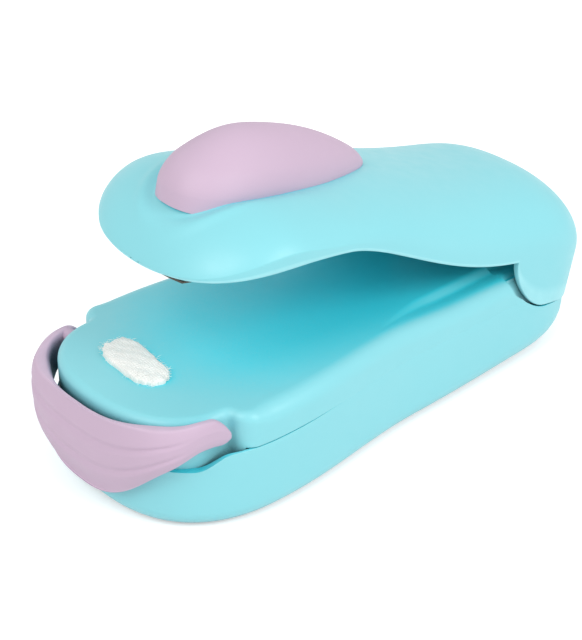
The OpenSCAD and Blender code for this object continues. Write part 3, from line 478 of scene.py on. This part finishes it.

# Nose collar
# A lilac band that wraps the nose and swings on two short pins in the notches. It is tall in front and tapers to its
# ends, and its outside has three soft faces with shallow creases between them.
# The covered colour is painted shade: the fuller tint given where other parts cover an upper face
lilac = moulded_plastic("lilac_plastic", colour=(0.545, 0.41, 0.53), deep=(0.515, 0.385, 0.505),
                        edge=(0.67, 0.53, 0.66), painted_shade=(0.50, 0.37, 0.50), grain=5200.0, roughness=0.55, gloss=0.35)
latch = joint_at["latch_swing"] - [0, hinge[1], 0]
collar_half, collar_gap, collar_front_t = 18.4, 0.8, 1.8
collar_tip = tip_y - collar_gap - collar_front_t
collar_turn, collar_tail, collar_p, tail_drop = 102.0, 2.6, 2.8, 0.3
collar_low, climb_h, climb_p, collar_high, high_bow = 3.75, 9.4, 1.7, 17.2, 0.3
near_lift, far_fall, far_low = 1.7, 1.2, 1.6
dip_h, dip_at, dip_run = 0.5, 66.0, 14.0
collar_thin, collar_more, end_h, tall_from, tall_run, far_slant = 1.75, 1.25, 0.3, 1.2, 4.0, 0.3
worn_up, worn_gain, worn_most = 0.93, 8.0, 0.5
up_n, down_n = 73, 23

angle = np.linspace(-collar_turn, collar_turn, 150)[:, None]
bent = np.radians(np.minimum(90, np.abs(angle)))
past = np.maximum(0, np.abs(angle) - 90) / (collar_turn - 90)
# The collar sits a little askew on its pins, lower on its far side
lifted = near_lift * np.sin(bent) * fades(angle, start=80, run=34)
fallen = far_fall * np.sin(bent) * fades(-angle, start=58, run=36)
askew_z = np.where(angle > 0, lifted, -fallen)
dip = dip_h * hump(np.abs(angle), dip_at, dip_run)
low_z = collar_low + climb_h * np.sin(bent) ** climb_p - dip + askew_z
low_z = low_z - far_low * grows(-angle, start=0, run=60) * fades(-angle, start=74, run=25)
high_z = collar_high + high_bow * np.sin(bent) ** 2 + askew_z
collar_t = collar_thin + collar_more * np.sin(2 * bent) ** 2
half_h = (high_z - low_z) / 2 * np.maximum(end_h, superellipse(past, p=2))
# Round the section: up the outside, where three faces meet in two shallow creases, and down the inside
outside = np.sin(np.linspace(-np.pi / 2, np.pi / 2, up_n))
inside_h = np.sin(np.linspace(np.pi / 2, -np.pi / 2, down_n + 2))[1:-1]
up_down = np.concatenate([outside, inside_h])[None]
out_in = superellipse(np.abs(up_down), p=4) * np.concatenate([np.ones(up_n), -np.ones(down_n)])
tall = np.clip((half_h - tall_from) / tall_run, 0, 1)
facing = np.clip(out_in, 0, 1)


def leaning(up, most, start, p):
    """How far a face leans in: nothing up to its start, then the power p of the way to the section's end."""
    return most * np.clip((up - start) / (1 - start), 0, 1) ** p


slant = leaning(up_down, most=1.15, start=0.34, p=1.05) + leaning(-up_down, most=1.3, start=0.3, p=1.3)
crease = 0.42 * hump(up_down, at=0.36, run=0.09) + 0.34 * hump(up_down, at=-0.28, run=0.1)
faded = fades(np.abs(angle), start=55, run=32)
upright_far = mix(1, far_slant, grows(-angle, start=10, run=30))
deep = collar_t / 2 * (1 - out_in) + facing * tall * (slant * upright_far + crease * faded)
grow = np.sin(bent) ** (2 / collar_p)
collar_x = np.sign(angle) * (collar_half - deep) * grow
collar_y = latch[1] + past * collar_tail - (latch[1] - collar_tip - deep) * np.abs(np.cos(bent)) ** (2 / collar_p)
collar_z = (high_z + low_z) / 2 - tail_drop * past + half_h * up_down
band = np.stack(np.broadcast_arrays(collar_x, collar_y, collar_z), -1)
ends = [np.broadcast_to(band[k].mean(0), band[k].shape) for k in (0, -1)]
band = np.concatenate([ends[0][None], band, ends[1][None]])
band_edge = np.zeros(band.shape[:2])
band_edge[1:-1] = np.clip((np.abs(up_down) - worn_up) * worn_gain, 0, worn_most)


def across(y, z, r, x0, x1, soft_edge):
    """A round boss along X from x0 to x1 with softened ends, whose end rows are drawn to their middles."""
    stations = [(x0, 0), (x0, r - soft_edge), (x0 + soft_edge * np.sign(x1 - x0), r), (x1, r), (x1, 0)]
    return np.stack([np.column_stack([np.full(len(circle), x), y + circle[:, 0] * q, z + circle[:, 1] * q])
                     for x, q in stations])


boss_r, boss_in, boss_out, boss_soft = 1.1, 14.9, 17.6, 0.25
bosses = [across(latch[1], latch[2], boss_r, s * boss_in, s * boss_out, boss_soft) for s in (1, -1)]
collar = skin("nose_collar", [band, *bosses], lilac, [band_edge, 0.0, 0.0])
fitted(collar, "latch", "lilac_plastic", "latch_collar")

# Heated strip
# A strip of white glass cloth folded over the heating ribbon, laid a little askew on the nose. It is soft and fuzzy,
# with a plain weave, an uneven outline and loose threads at its cut edges.
heat_at, heat_half = np.array([-1.7, -68.8]), np.array([6.7, 2.95])
heat_skew, corner_p = math.radians(-5), 2.9
cover_low, cover_rise = deck_h - 0.1, 1.32
spread_p, puff_p, puff_low, puff_lumps, fuzz_h = 0.55, 0.5, 0.94, 0.75, 0.03
strands, thread_r, thread_low, thread_top = 260, 0.028, 0.04, 1.38

ring_t = np.linspace(0, 2 * np.pi, 160, endpoint=False)[None]
dome = np.linspace(0, np.pi / 2, 44)[:, None]
corner = [np.sign(f(ring_t)) * np.abs(f(ring_t)) ** (2 / corner_p) for f in (np.cos, np.sin)]
uneven = 1 + 0.035 * np.sin(3 * ring_t + 0.7) + 0.022 * np.sin(7 * ring_t + 2.1) + 0.016 * np.sin(17 * ring_t)
spread = np.cos(dome) ** spread_p
flat_u = heat_half[0] * corner[0] * spread * uneven
flat_v = heat_half[1] * corner[1] * spread * uneven
lumps = (0.16 * np.sin(0.75 * flat_u + 1.1) * np.cos(0.9 * flat_v) + 0.07 * np.sin(2.3 * flat_u + 1.7 * flat_v)
         + 0.05 * np.sin(3.1 * flat_v - 1.9 * flat_u + 0.5))
fuzz = np.random.default_rng(7).normal(0, fuzz_h, flat_u.shape) * np.cos(dome)
height = cover_low + cover_rise * np.sin(dome) ** puff_p * (puff_low + puff_lumps * lumps) + fuzz * np.sin(dome)
cos_s, sin_s = math.cos(heat_skew), math.sin(heat_skew)


def askew(u, v, z):
    """Points of the strip from its own length u, width v and height z."""
    return np.stack([heat_at[0] + u * cos_s - v * sin_s, heat_at[1] + u * sin_s + v * cos_s, z], -1)


cover = askew(flat_u, flat_v, height)
under_cover = askew(flat_u[:1] * 0, flat_v[:1] * 0, np.full_like(flat_u[:1], cover_low))
cover = np.concatenate([under_cover, cover])
weave_at = np.stack([np.concatenate([flat_u[:1] * 0, flat_u]), np.concatenate([flat_v[:1] * 0, flat_v]),
                     np.zeros(cover.shape[:2])], -1)

cloth, tree, sockets = shader("glass_cloth")
threads = add(tree, "ShaderNodeAttribute", attribute_name="weave")["Vector"]
stray = noise(tree, threads, 0.7, 5.0)
flat = add(tree, "ShaderNodeVectorMath", {0: threads}, {1: (1, 1, 0)}, operation="MULTIPLY")[0]
wave = {"Scale": 0.8, "Distortion": 5.0, "Detail": 4.0, "Detail Scale": 1.2}
warp, weft = (add(tree, "ShaderNodeTexWave", {"Vector": flat}, wave, bands_direction=way)["Fac"] for way in "XY")
woven = combine(tree, "MULTIPLY", warp, weft)
fibre = add(tree, "ShaderNodeTexNoise", {"Vector": threads}, {"Scale": 2.6, "Detail": 7.0, "Roughness": 0.7})[0]
relief = combine(tree, "ADD", woven, fibre)
shade = blend_colours(tree, remap(tree, relief, 0.45, 1.3, 0.0, 1.0), (0.86, 0.86, 0.82, 1), (0.98, 0.98, 0.95, 1))
shade = blend_colours(tree, remap(tree, stray, 0.58, 0.75, 0.0, 0.4), shade, (0.62, 0.65, 0.64, 1))
tree.links.new(shade, sockets["Base Color"])
tree.links.new(remap(tree, fibre, 0.3, 0.7, 0.8, 0.98), sockets["Roughness"])
bumped(tree, relief, sockets, 0.00012, 0.75)
sockets["Sheen Weight"].default_value = 0.25

rng = np.random.default_rng(11)
base_t = rng.uniform(0, 2 * np.pi, strands)
base_d = np.where(rng.random(strands) < 0.6, rng.uniform(0.0, 0.35, strands), rng.uniform(0.3, 1.4, strands))
root_u, root_v = (half * np.sign(f(base_t)) * np.abs(f(base_t)) ** 0.625 * np.cos(base_d) ** 0.75
                  for half, f in zip(heat_half, (np.cos, np.sin)))
root_z = cover_low + cover_rise * np.sin(base_d + 0.12) ** 0.6 * 0.97
heading = base_t + rng.normal(0, 0.8, strands)
curl = rng.normal(0, 1.3, strands)[:, None]
length = rng.uniform(0.3, 0.9, strands)[:, None]
along = np.linspace(0, 1, 6)[None]
bend = heading[:, None] + curl * along
thread_u = root_u[:, None] + length * along * np.cos(bend)
thread_v = root_v[:, None] + length * along * np.sin(bend)
thread_z = root_z[:, None] + length * along * rng.uniform(-0.5, 0.35, strands)[:, None]
thread_z = np.clip(thread_z, deck_h + thread_low, deck_h + thread_top)
thin = (thread_r * (1 - along) ** 0.3)[..., None]
three = np.linspace(0, 2 * np.pi, 3, endpoint=False)
loose = askew(thread_u[..., None] + thin * np.cos(three), thread_v[..., None] + thin * np.cos(three + 2.1),
              thread_z[..., None] + thin * np.sin(three))
stubs = np.broadcast_to(loose[:, :1].mean(2, keepdims=True), loose[:, :1].shape)
loose = np.concatenate([stubs, loose], 1)
weave_all = np.concatenate([weave_at.reshape(-1, 3), np.zeros((loose[..., 0].size, 3))])
heater = skin("glass_cloth_cover", [cover, loose], cloth, extra={"weave": weave_all}, sharp=80)
fitted(heater, "base", "glass_cloth", "heater_cover")

# Return spring
# An open coil of steel wire that stands on the deck and pushes the lever up.
wire_r, coils, spring_y = 0.35, 7, -12.5


def speckled(name, dark, pale, size, rough, metal, depth, spread=0.06, strength=0.3):
    """A finish whose colour and gloss wander between two values with a fine noise."""
    made, tree, sockets = shader(name)
    fleck = noise(tree, add(tree, "ShaderNodeTexCoord")["Object"], size, 4.0)
    tree.links.new(blend_colours(tree, fleck, (*dark, 1), (*pale, 1)), sockets["Base Color"])
    tree.links.new(remap(tree, fleck, 0.3, 0.7, rough - spread, rough + spread), sockets["Roughness"])
    sockets["Metallic"].default_value = metal
    bumped(tree, fleck, sockets, depth, strength)
    return made


steel = speckled("drawn_steel", (0.5, 0.5, 0.51), (0.7, 0.7, 0.7), size=2600.0, rough=0.3, metal=1.0, depth=0.00002,
                 spread=0.08, strength=0.2)
spring_lo, spring_hi = from_hinge(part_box("return_spring"))
spring_r = (spring_hi[0] - spring_lo[0]) / 2 - wire_r
rise = np.linspace(0, 1, 420)
# The coil's two ends lie flat: the pitch eases in and out over half a turn
climb = np.interp(rise, [0, 0.07, 0.93, 1], [0, 0.035, 0.965, 1])
swing = 2 * np.pi * coils * rise
path = np.column_stack([spring_r * np.cos(swing), spring_y + spring_r * np.sin(swing),
                        mix(spring_lo[2] + wire_r, spring_hi[2] - wire_r, climb)])
tangent = np.gradient(path, axis=0)
tangent /= np.linalg.norm(tangent, axis=1)[:, None]
outward = np.column_stack([np.cos(swing), np.sin(swing), np.zeros_like(swing)])
upward = np.cross(tangent, outward)
wire_turn = np.linspace(0, 2 * np.pi, 10, endpoint=False)
coil = path[:, None] + wire_r * (np.cos(wire_turn)[None, :, None] * outward[:, None]
                                 + np.sin(wire_turn)[None, :, None] * upward[:, None])
tips = [np.broadcast_to(path[k], (1, wire_turn.size, 3)) for k in (0, -1)]
coil = np.concatenate([tips[0], coil, tips[1]])
spring = skin("return_coil", [coil], steel)
fitted(spring, "base", "steel", "return_spring")
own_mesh(spring)

# Lever
# The upper arm, moulded in turquoise plastic with a bulbous nose, an arched lower rim and a hood behind whose two ears
# hang over the hinge. A soft moat runs round the front of the thumb pad, and an upright band along the nose's rim.
lever_tip, lever_bulb_y, lever_waist_y = -72.1, -56.7, -38.0
lever_bulb_half, lever_waist_half, hood_half = 18.2, 17.2, 17.5
lever_nose_p, hood_p, roof_p, rise_p = 2.55, 3.2, 2.8, 0.75
lever_wall, ear_thinner, hood_back = 2.0, 1.0, 13.2
skin_front_p, skin_rear_p, skin_lift = 2.2, 2.3, 0.085
crown_front, crown_rear, crown_lead, crown_end = 17.3, 14.5, 4.0, -8.0
rim_nose, rim_arch, rim_rear, arch_at = 4.6, 9.8, 3.0, 48.0
rim_front_p, rim_rear_p, rim_lead = 2.1, 0.8, 1.5
band_h, band_more, band_y, band_run, band_room, tuck_run = 1.2, 1.5, -62.0, 8.0, 0.2, 9.0
tuck_most, edge_most, narrow = 0.3, 0.3, 0.3
ear_drop, ear_l, ear_y, hood_y, roof_y = 5.6, 8.6, 0.6, -2.0, -5.0
pad_front, pad_l, pad_half_w, pad_taper = -67.9, 37.4, 7.1, 0.34
pad_blunt_p, pad_point_p = 2.35, 1.9
pad_edge_front, pad_edge_rear, pad_arch = 14.4, 15.8, 0.4
pad_mid = pad_front + pad_l / 2
pad_gap, under_pad, under_drop, near_l, near_run = 0.1, -0.9, 0.8, 4.0, 2.0
lip_h, lip_at, lip_run = 0.3, 2.2, 0.9
moat_h, moat_at, moat_run, moat_from, moat_fade = 0.35, 0.2, 0.8, -58.0, 9.0
let_rear, let_front, slope_rear, slope_front, front_from, front_run = 0.5, 1.6, 0.12, 0.34, -42.0, 13.0
foot_out, foot_share, foot_up = 0.2, 0.1, 0.25
worn_from, worn_n, lever_wear = 4, 8, 0.6
seat_room, seat_h = 1.0, 2.6


def opened(points):
    """Points of the closed lever, from the hinge, turned up by the open angle about the hinge pin."""
    x, y, z = points[..., 0], points[..., 1], points[..., 2]
    c, s = math.cos(open_angle), math.sin(open_angle)
    return np.stack([x, y * c + z * s, hinge_h - y * s + z * c], -1)


def lever_rim(y):
    """Height of the lower rim: it climbs from the nose to the arch and eases down to the ears."""
    front = mix(rim_arch, rim_nose, np.clip((-arch_at - y) / (-lever_tip - arch_at), 0, 1) ** rim_front_p)
    back = mix(rim_arch, rim_rear, ease(np.clip((y + arch_at) / (arch_at - ear_l - rim_lead), 0, 1) ** rim_rear_p))
    return np.where(y < -arch_at, front, back)


def lever_low(y):
    """Height of the lever's lowest edge: the rim, then the rounded front of the ears, then the hood's foot."""
    ear = mix(rim_rear, -ear_drop, superellipse((ear_y - y) / (ear_y + ear_l), ear_p))
    return np.where(y < -ear_l, lever_rim(y), np.where(y > ear_y, -ear_drop, ear))


def lever_half(y, t):
    """Half the lever's width, t inside its outside: a rounded nose, a waist and a squarer rear."""
    nose = (lever_bulb_half - t) * superellipse((lever_bulb_y - y) / (lever_bulb_y - lever_tip - t), lever_nose_p)
    front = mix(lever_bulb_half, lever_waist_half, ease((y - lever_bulb_y) / (lever_waist_y - lever_bulb_y))) - t
    back = mix(lever_waist_half, hood_half, ease((y - lever_waist_y) / (-ear_l - lever_waist_y))) - t
    rear = (hood_half - t) * superellipse((y - hood_y) / (hood_back - t - hood_y), hood_p)
    return np.where(y < lever_bulb_y, nose, np.where(y < lever_waist_y, front, np.where(y < hood_y, back, rear)))


def lever_rise(y, t):
    """Share of its full height that the lever has in its rounded nose and its falling roof."""
    nose = (1 - np.clip((lever_bulb_y - y) / (lever_bulb_y - lever_tip - t), 0, 1) ** 2) ** rise_p
    return np.where(y < lever_bulb_y, nose, superellipse((y - roof_y) / (hood_back - t - roof_y), roof_p))


def lever_places(t):
    """Places along the lever at which its sections stand, closer together at its rounded ends and its ears."""
    a = np.linspace(np.pi / 2, 0, 64)
    nose = lever_bulb_y - (lever_bulb_y - lever_tip - t) * np.sin(a) ** (2 / lever_nose_p)
    middle = np.linspace(lever_bulb_y, -ear_l, 92)[1:]
    ears = -ear_l + (ear_y + ear_l) * np.linspace(0, 1, 26)[1:] ** 1.7
    rear = ear_y + (hood_back - t - ear_y) * np.sin(a[::-1][1:]) ** (2 / hood_p)
    return np.concatenate([nose, middle, ears, rear])[:, None]


def pad_edge(y):
    """Height of the thumb pad's edge, which climbs along the crown and arches a little."""
    run = (y - pad_mid) / pad_l + 0.5
    return mix(pad_edge_front, pad_edge_rear, run) + pad_arch * np.sin(np.pi * np.clip(run, 0, 1))


def pad_power(v):
    """Power of the pad's outline: a blunt front and a pointed rear."""
    return np.where(v < 0, pad_blunt_p, pad_point_p)


def pad_distance(x, y):
    """Distance outside the pad's egg-shaped outline, measured towards the pad's middle."""
    v = (y - pad_mid) / (pad_l / 2)
    p = pad_power(v)
    far = (np.abs(x) / (pad_half_w * (1 - pad_taper * np.clip(v, -1, 1)))) ** p + np.abs(v) ** p
    far = np.maximum(far, 1e-6) ** (1 / p)
    return np.hypot(x, y - pad_mid) * (1 - 1 / far)


def lower_of(a, b, soft):
    """The lower of two heights, with a rounded change from one to the other."""
    return 0.5 * (a + b - np.sqrt((a - b) ** 2 + soft))


def in_front(y):
    """How far a place lies towards the pad's front: 0 behind the pad's middle, 1 in front of it."""
    return ease((front_from - y) / front_run)


def below_pad(x, y, z, down):
    """The heights z let down to the pad's edge near its outline, with a soft moat and lip round its front."""
    gap = pad_distance(x, y)
    rim_of_pad = pad_edge(y) + pad_gap + mix(slope_rear, slope_front, in_front(y)) * np.maximum(gap, 0)
    near = np.exp(-np.maximum(gap - near_l, 0) / near_run)
    lip_moat = lip_h * hump(gap, lip_at, lip_run) - moat_h * hump(gap, moat_at, moat_run)
    z = lower_of(z, rim_of_pad, soft=0.3) + ease((moat_from - y) / moat_fade) * lip_moat
    return np.where(gap < under_pad, np.minimum(z, pad_edge(y) - under_drop), z) - down * near


def lever_arc(y, t, b):
    """A section's skin from rim to rim: a superellipse over the upright band, b from 0 to 1 across it."""
    w, k = lever_half(y, t), lever_rise(y, t)
    p = mix(skin_front_p, skin_rear_p, ease((y - lever_bulb_y) / (-ear_l - lever_bulb_y)))
    hood = y > roof_y
    rim = np.where(hood, rim_rear, lever_rim(y))
    upright = band_h + band_more * hump(y, band_y, band_run)
    ground = np.where(hood, -ear_drop, lever_rim(y))
    band_z = mix(ground, rim + upright, k)
    back = ease((y - lever_bulb_y - crown_lead) / (crown_end - lever_bulb_y - crown_lead))
    let_down = pad_edge(y) + mix(let_rear, let_front, in_front(y))
    crown = lower_of(mix(crown_front, crown_rear, back), let_down, soft=0.25) - t
    head = mix(ground, crown, k)
    # The skin starts a little way up its curve at the nose, so that it meets the band in a soft crease
    start = skin_lift * fades(y, start=-56, run=18)
    turned = np.pi * mix(start, 1 - start, b)
    c, s = -np.cos(turned) / np.cos(np.pi * start), np.sin(turned)
    x = w * np.sign(c) * np.minimum(1, np.abs(c)) ** (2 / p)
    first = np.sin(np.pi * start) ** (2 / p)
    z = mix(band_z, head, (s ** (2 / p) - first) / (1 - first))
    return x, np.broadcast_to(y, x.shape), z, w, band_z, np.minimum(lever_low(y), band_z - band_room)


out_y, in_y = lever_places(0.0), lever_places(lever_wall)
arc_b = np.linspace(0, 1, 181)[None]
x, y, z, w, band_z, low = lever_arc(out_y, 0.0, arc_b)
z = np.maximum(below_pad(x, y, z, down=0.0), np.minimum(z, band_z))
top = np.stack([x, y, z], -1)
down = np.linspace(0, 1, 7)[None, 1:]
tuck = np.minimum(tuck_most * hump(out_y, band_y, tuck_run), narrow * w)
skirt_r = np.minimum(edge_most, narrow * w)


def skirt(side):
    """The band below a section's skin on one side, from the skin down to its rounded lower edge."""
    at_x = side * (w - tuck * down)
    straight = np.stack([at_x, np.broadcast_to(out_y, at_x.shape), mix(band_z, low + skirt_r, down)], -1)
    a = np.linspace(0, np.pi / 2, 5)[None, 1:]
    at_x = side * (w - tuck - skirt_r * (1 - np.cos(a)))
    rounded = np.stack([at_x, np.broadcast_to(out_y, at_x.shape), low + skirt_r * (1 - np.sin(a))], -1)
    return np.concatenate([straight, rounded], 1)


in_b = np.linspace(1, 0, 61)[None]
# The wall is thinner at the ears
wall_at = lever_wall - ear_thinner * grows(in_y, start=-14, run=5) * fades(in_y, start=2, run=7)
ix, iy, iz, iw, in_band, in_low = lever_arc(in_y, wall_at, in_b)
iz = np.maximum(below_pad(ix, iy, iz, down=0.6), np.minimum(iz, in_band))
inner = np.stack([ix, iy, iz], -1)


def inner_foot_at(side):
    """The two lowest points of the inner wall on one side."""
    at_x = np.concatenate([side * (iw + np.minimum(foot_out, foot_share * iw)), side * iw], 1)
    return np.stack([at_x, np.broadcast_to(in_y, at_x.shape), np.concatenate([in_low, in_low + foot_up], 1)], -1)


section = np.concatenate([top, skirt(1), inner_foot_at(1), inner, inner_foot_at(-1)[:, ::-1],
                          skirt(-1)[:, ::-1]], 1)
lever_edge = np.zeros(section.shape[:2])
rim_from = arc_b.size + worn_from
lever_edge[:, rim_from:rim_from + worn_n] = lever_wear
lever_edge[:, -worn_n - worn_from:-worn_from] = lever_wear

seat_lo = spring_hi[2]
spring_seat = prism(circle * (spring_r + wire_r + seat_room) + [0, spring_y], seat_lo, seat_lo + seat_h)
lever = skin("lever_arm", [opened(section), spring_seat], turquoise, [lever_edge, 0.0], sharp=45)
fitted(lever, "lever", "turquoise_plastic", "lever_shell")

# Thumb pad
# A lilac egg-shaped pad let into the top of the lever, blunt in front, with a softly domed top and a rounded edge.
pad_seat, pad_dome, pad_apex = 12.4, 6.1, -55.3
bevel_front, bevel_rear, pad_soft = 2.1, 1.1, 0.85
round_p, ring_p, dome_p = 2.0, 1.9, 2.15
egg_turn = np.pi * np.linspace(0, 1, 110)
egg_along = -np.cos(egg_turn)


def egg(power):
    """Half of the pad's outline, with the given power of its ends."""
    v = np.sign(egg_along) * np.abs(egg_along) ** (2 / power)
    half_x = pad_half_w * (1 - pad_taper * v) * np.sin(egg_turn) ** (2 / power)
    half = np.column_stack([half_x, pad_mid + pad_l / 2 * v])
    half[[0, -1], 0] = 0
    return half


egg_p = pad_power(egg_along)
pad_half, pad_round = egg(egg_p), egg(np.minimum(egg_p, round_p))
pad_rows = [loop(pad_half * [s, 1], pad_seat) for s in (0.0, 0.5, 1.0)]
for r in 1 - np.linspace(0, 1, 56) ** ring_p:
    shape = mix(pad_round, pad_half, r ** 3)
    row = np.column_stack([shape[:, 0] * r, mix(pad_apex, shape[:, 1], r)])
    rounded = math.sqrt(1 - max(0, (r - pad_soft) / (1 - pad_soft)) ** 2)
    bevel = mix(bevel_front, bevel_rear, ease((row[:, 1] - pad_front) / pad_l))
    pad_rows.append(loop(row, pad_edge(row[:, 1]) + bevel * rounded + pad_dome * (1 - r ** dome_p)))
pad = skin("thumb_pad_dome", [opened(np.stack(pad_rows))], lilac)
fitted(pad, "lever", "lilac_plastic", "thumb_pad")

# Pieces inside
# The door and the lever's liner are turquoise mouldings. Behind them are the cells, their contacts, the wires, the
# pins, the screws and the silicone strip under the lever's nose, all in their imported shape, and the dark block of the
# heater holder, which ends just under the deck's top.


def assigned(finish, *names):
    """The finish goes on the named CAD nodes."""
    for name in names:
        for held in nodes[name].material_slots:
            held.material = finish


holder_lo, holder_hi = from_hinge(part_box("heater_holder"))
block = np.array([[holder_lo[0], holder_lo[1]], [holder_hi[0], holder_lo[1]], [holder_hi[0], holder_hi[1]],
                  [holder_lo[0], holder_hi[1]]])
phenolic = speckled("phenolic_holder", (0.02, 0.017, 0.014), (0.05, 0.043, 0.036), size=2200.0, rough=0.55, metal=0.0,
                    depth=0.00003)
silicone = speckled("silicone_strip", (0.05, 0.042, 0.03), (0.09, 0.075, 0.055), size=1500.0, rough=0.6, metal=0.0,
                    depth=0.00003)
contact = speckled("contact_sheet", (0.6, 0.5, 0.3), (0.8, 0.7, 0.46), size=1800.0, rough=0.34, metal=1.0,
                   depth=0.00001)
sleeve = speckled("cell_sleeve", (0.035, 0.04, 0.048), (0.06, 0.066, 0.078), size=900.0, rough=0.3, metal=0.0,
                  depth=0.00001)
red = speckled("red_insulation", (0.42, 0.02, 0.015), (0.55, 0.035, 0.025), size=1200.0, rough=0.5, metal=0.0,
               depth=0.00002)
black = speckled("black_insulation", (0.015, 0.015, 0.015), (0.03, 0.03, 0.03), size=1200.0, rough=0.5, metal=0.0,
                 depth=0.00002)
holder = skin("heater_holder_block", [prism(block, holder_lo[2], cover_low)], phenolic)
fitted(holder, "base", "phenolic", "heater_holder")
assigned(turquoise, "battery_door", "lever_liner")
assigned(steel, "base_screws", "hinge_pin", "lever_screws", "latch_pins", "cell_springs", "heater_ribbon")
assigned(silicone, "pressure_pad")
assigned(contact, "front_link", "rear_plus_plate", "rear_minus_plate", "switch_leaf", "switch_contact")
assigned(sleeve, "cell_left", "cell_right")
assigned(red, "lead_wire_feed")
assigned(black, "lead_wire_return")

# Studio
# A wide pale floor, soft light from all round and two broad lamps, from the near side and from the front; the camera
# stands as the photographer did, above the nose's near side.
sky, floor_glow = 0.68, 0.38


def seen_directly(tree):
    """1 for rays from the camera, from glossy faces and through clear ones, else 0."""
    rays = add(tree, "ShaderNodeLightPath")
    seen = combine(tree, "MAXIMUM", rays["Is Camera Ray"], rays["Is Glossy Ray"])
    return combine(tree, "MAXIMUM", seen, rays["Is Transmission Ray"])


world = bpy.data.worlds.new("studio")
world.use_nodes = True
bpy.context.scene.world = world
tree = world.node_tree
glow = tree.nodes["Background"]
tree.links.new(remap(tree, seen_directly(tree), 0.0, 1.0, sky, 1.0), glow.inputs["Strength"])
glow.inputs["Color"].default_value = (1, 1, 1, 1)


def lamp(name, at, to, size, power):
    """A square area lamp at a place, turned to a point, in metres and watts."""
    data = bpy.data.lights.new(name, "AREA")
    data.size = size
    data.energy = power
    made = bpy.data.objects.new(name, data)
    made.location = at
    made.rotation_euler = (Vector(to) - Vector(at)).to_track_quat("-Z", "Y").to_euler()
    bpy.context.scene.collection.objects.link(made)


lamp("near_softbox", (0.52, 0.13, 0.42), (0, -0.02, 0.03), size=0.3, power=1.9)
lamp("front_softbox", (0.08, -0.55, 0.58), (0, -0.02, 0.03), size=0.4, power=2.3)

floor_mesh = bpy.data.meshes.new("floor")
reach_m, floor_z = 3.0, -0.00005
floor_mesh.from_pydata([(-reach_m, -reach_m, floor_z), (reach_m, -reach_m, floor_z), (reach_m, reach_m, floor_z),
                        (-reach_m, reach_m, floor_z)], [], [(0, 1, 2, 3)])
paper, tree, sockets = shader("pale_floor")
place = add(tree, "ShaderNodeTexCoord")["Object"]
fine = noise(tree, place, 40.0, 3.0)
tree.links.new(blend_colours(tree, fine, (0.82, 0.82, 0.82, 1), (0.85, 0.85, 0.85, 1)), sockets["Base Color"])
sockets["Roughness"].default_value = 0.9
sockets["Emission Color"].default_value = (1, 1, 1, 1)
tree.links.new(remap(tree, seen_directly(tree), 0.0, 1.0, 0.0, floor_glow), sockets["Emission Strength"])
floor_mesh.materials.append(paper)
floor = bpy.data.objects.new("floor", floor_mesh)
bpy.context.scene.collection.objects.link(floor)

camera_data = bpy.data.cameras.new("camera")
camera_data.sensor_fit = "VERTICAL"
sensor_mm, focal_px, photo_px = 36, 1650, 640
camera_data.sensor_height = sensor_mm
camera_data.sensor_width = sensor_mm
camera_data.lens = sensor_mm * focal_px / photo_px
camera = bpy.data.objects.new("camera", camera_data)
camera.location = (0.162634, -0.151244, 0.148233)
camera_right = Vector((0.66285271, 0.74871962, 0.00672434))
camera_up = Vector((-0.39461527, 0.34169839, 0.85294842))
camera_back = Vector((0.63632152, -0.5680327, 0.5219519))
camera.rotation_euler = Matrix((camera_right, camera_up, camera_back)).transposed().to_euler()
bpy.context.scene.collection.objects.link(camera)
bpy.context.scene.camera = camera
bpy.context.scene.view_settings.view_transform = "Standard"

bpy.context.view_layer.update()
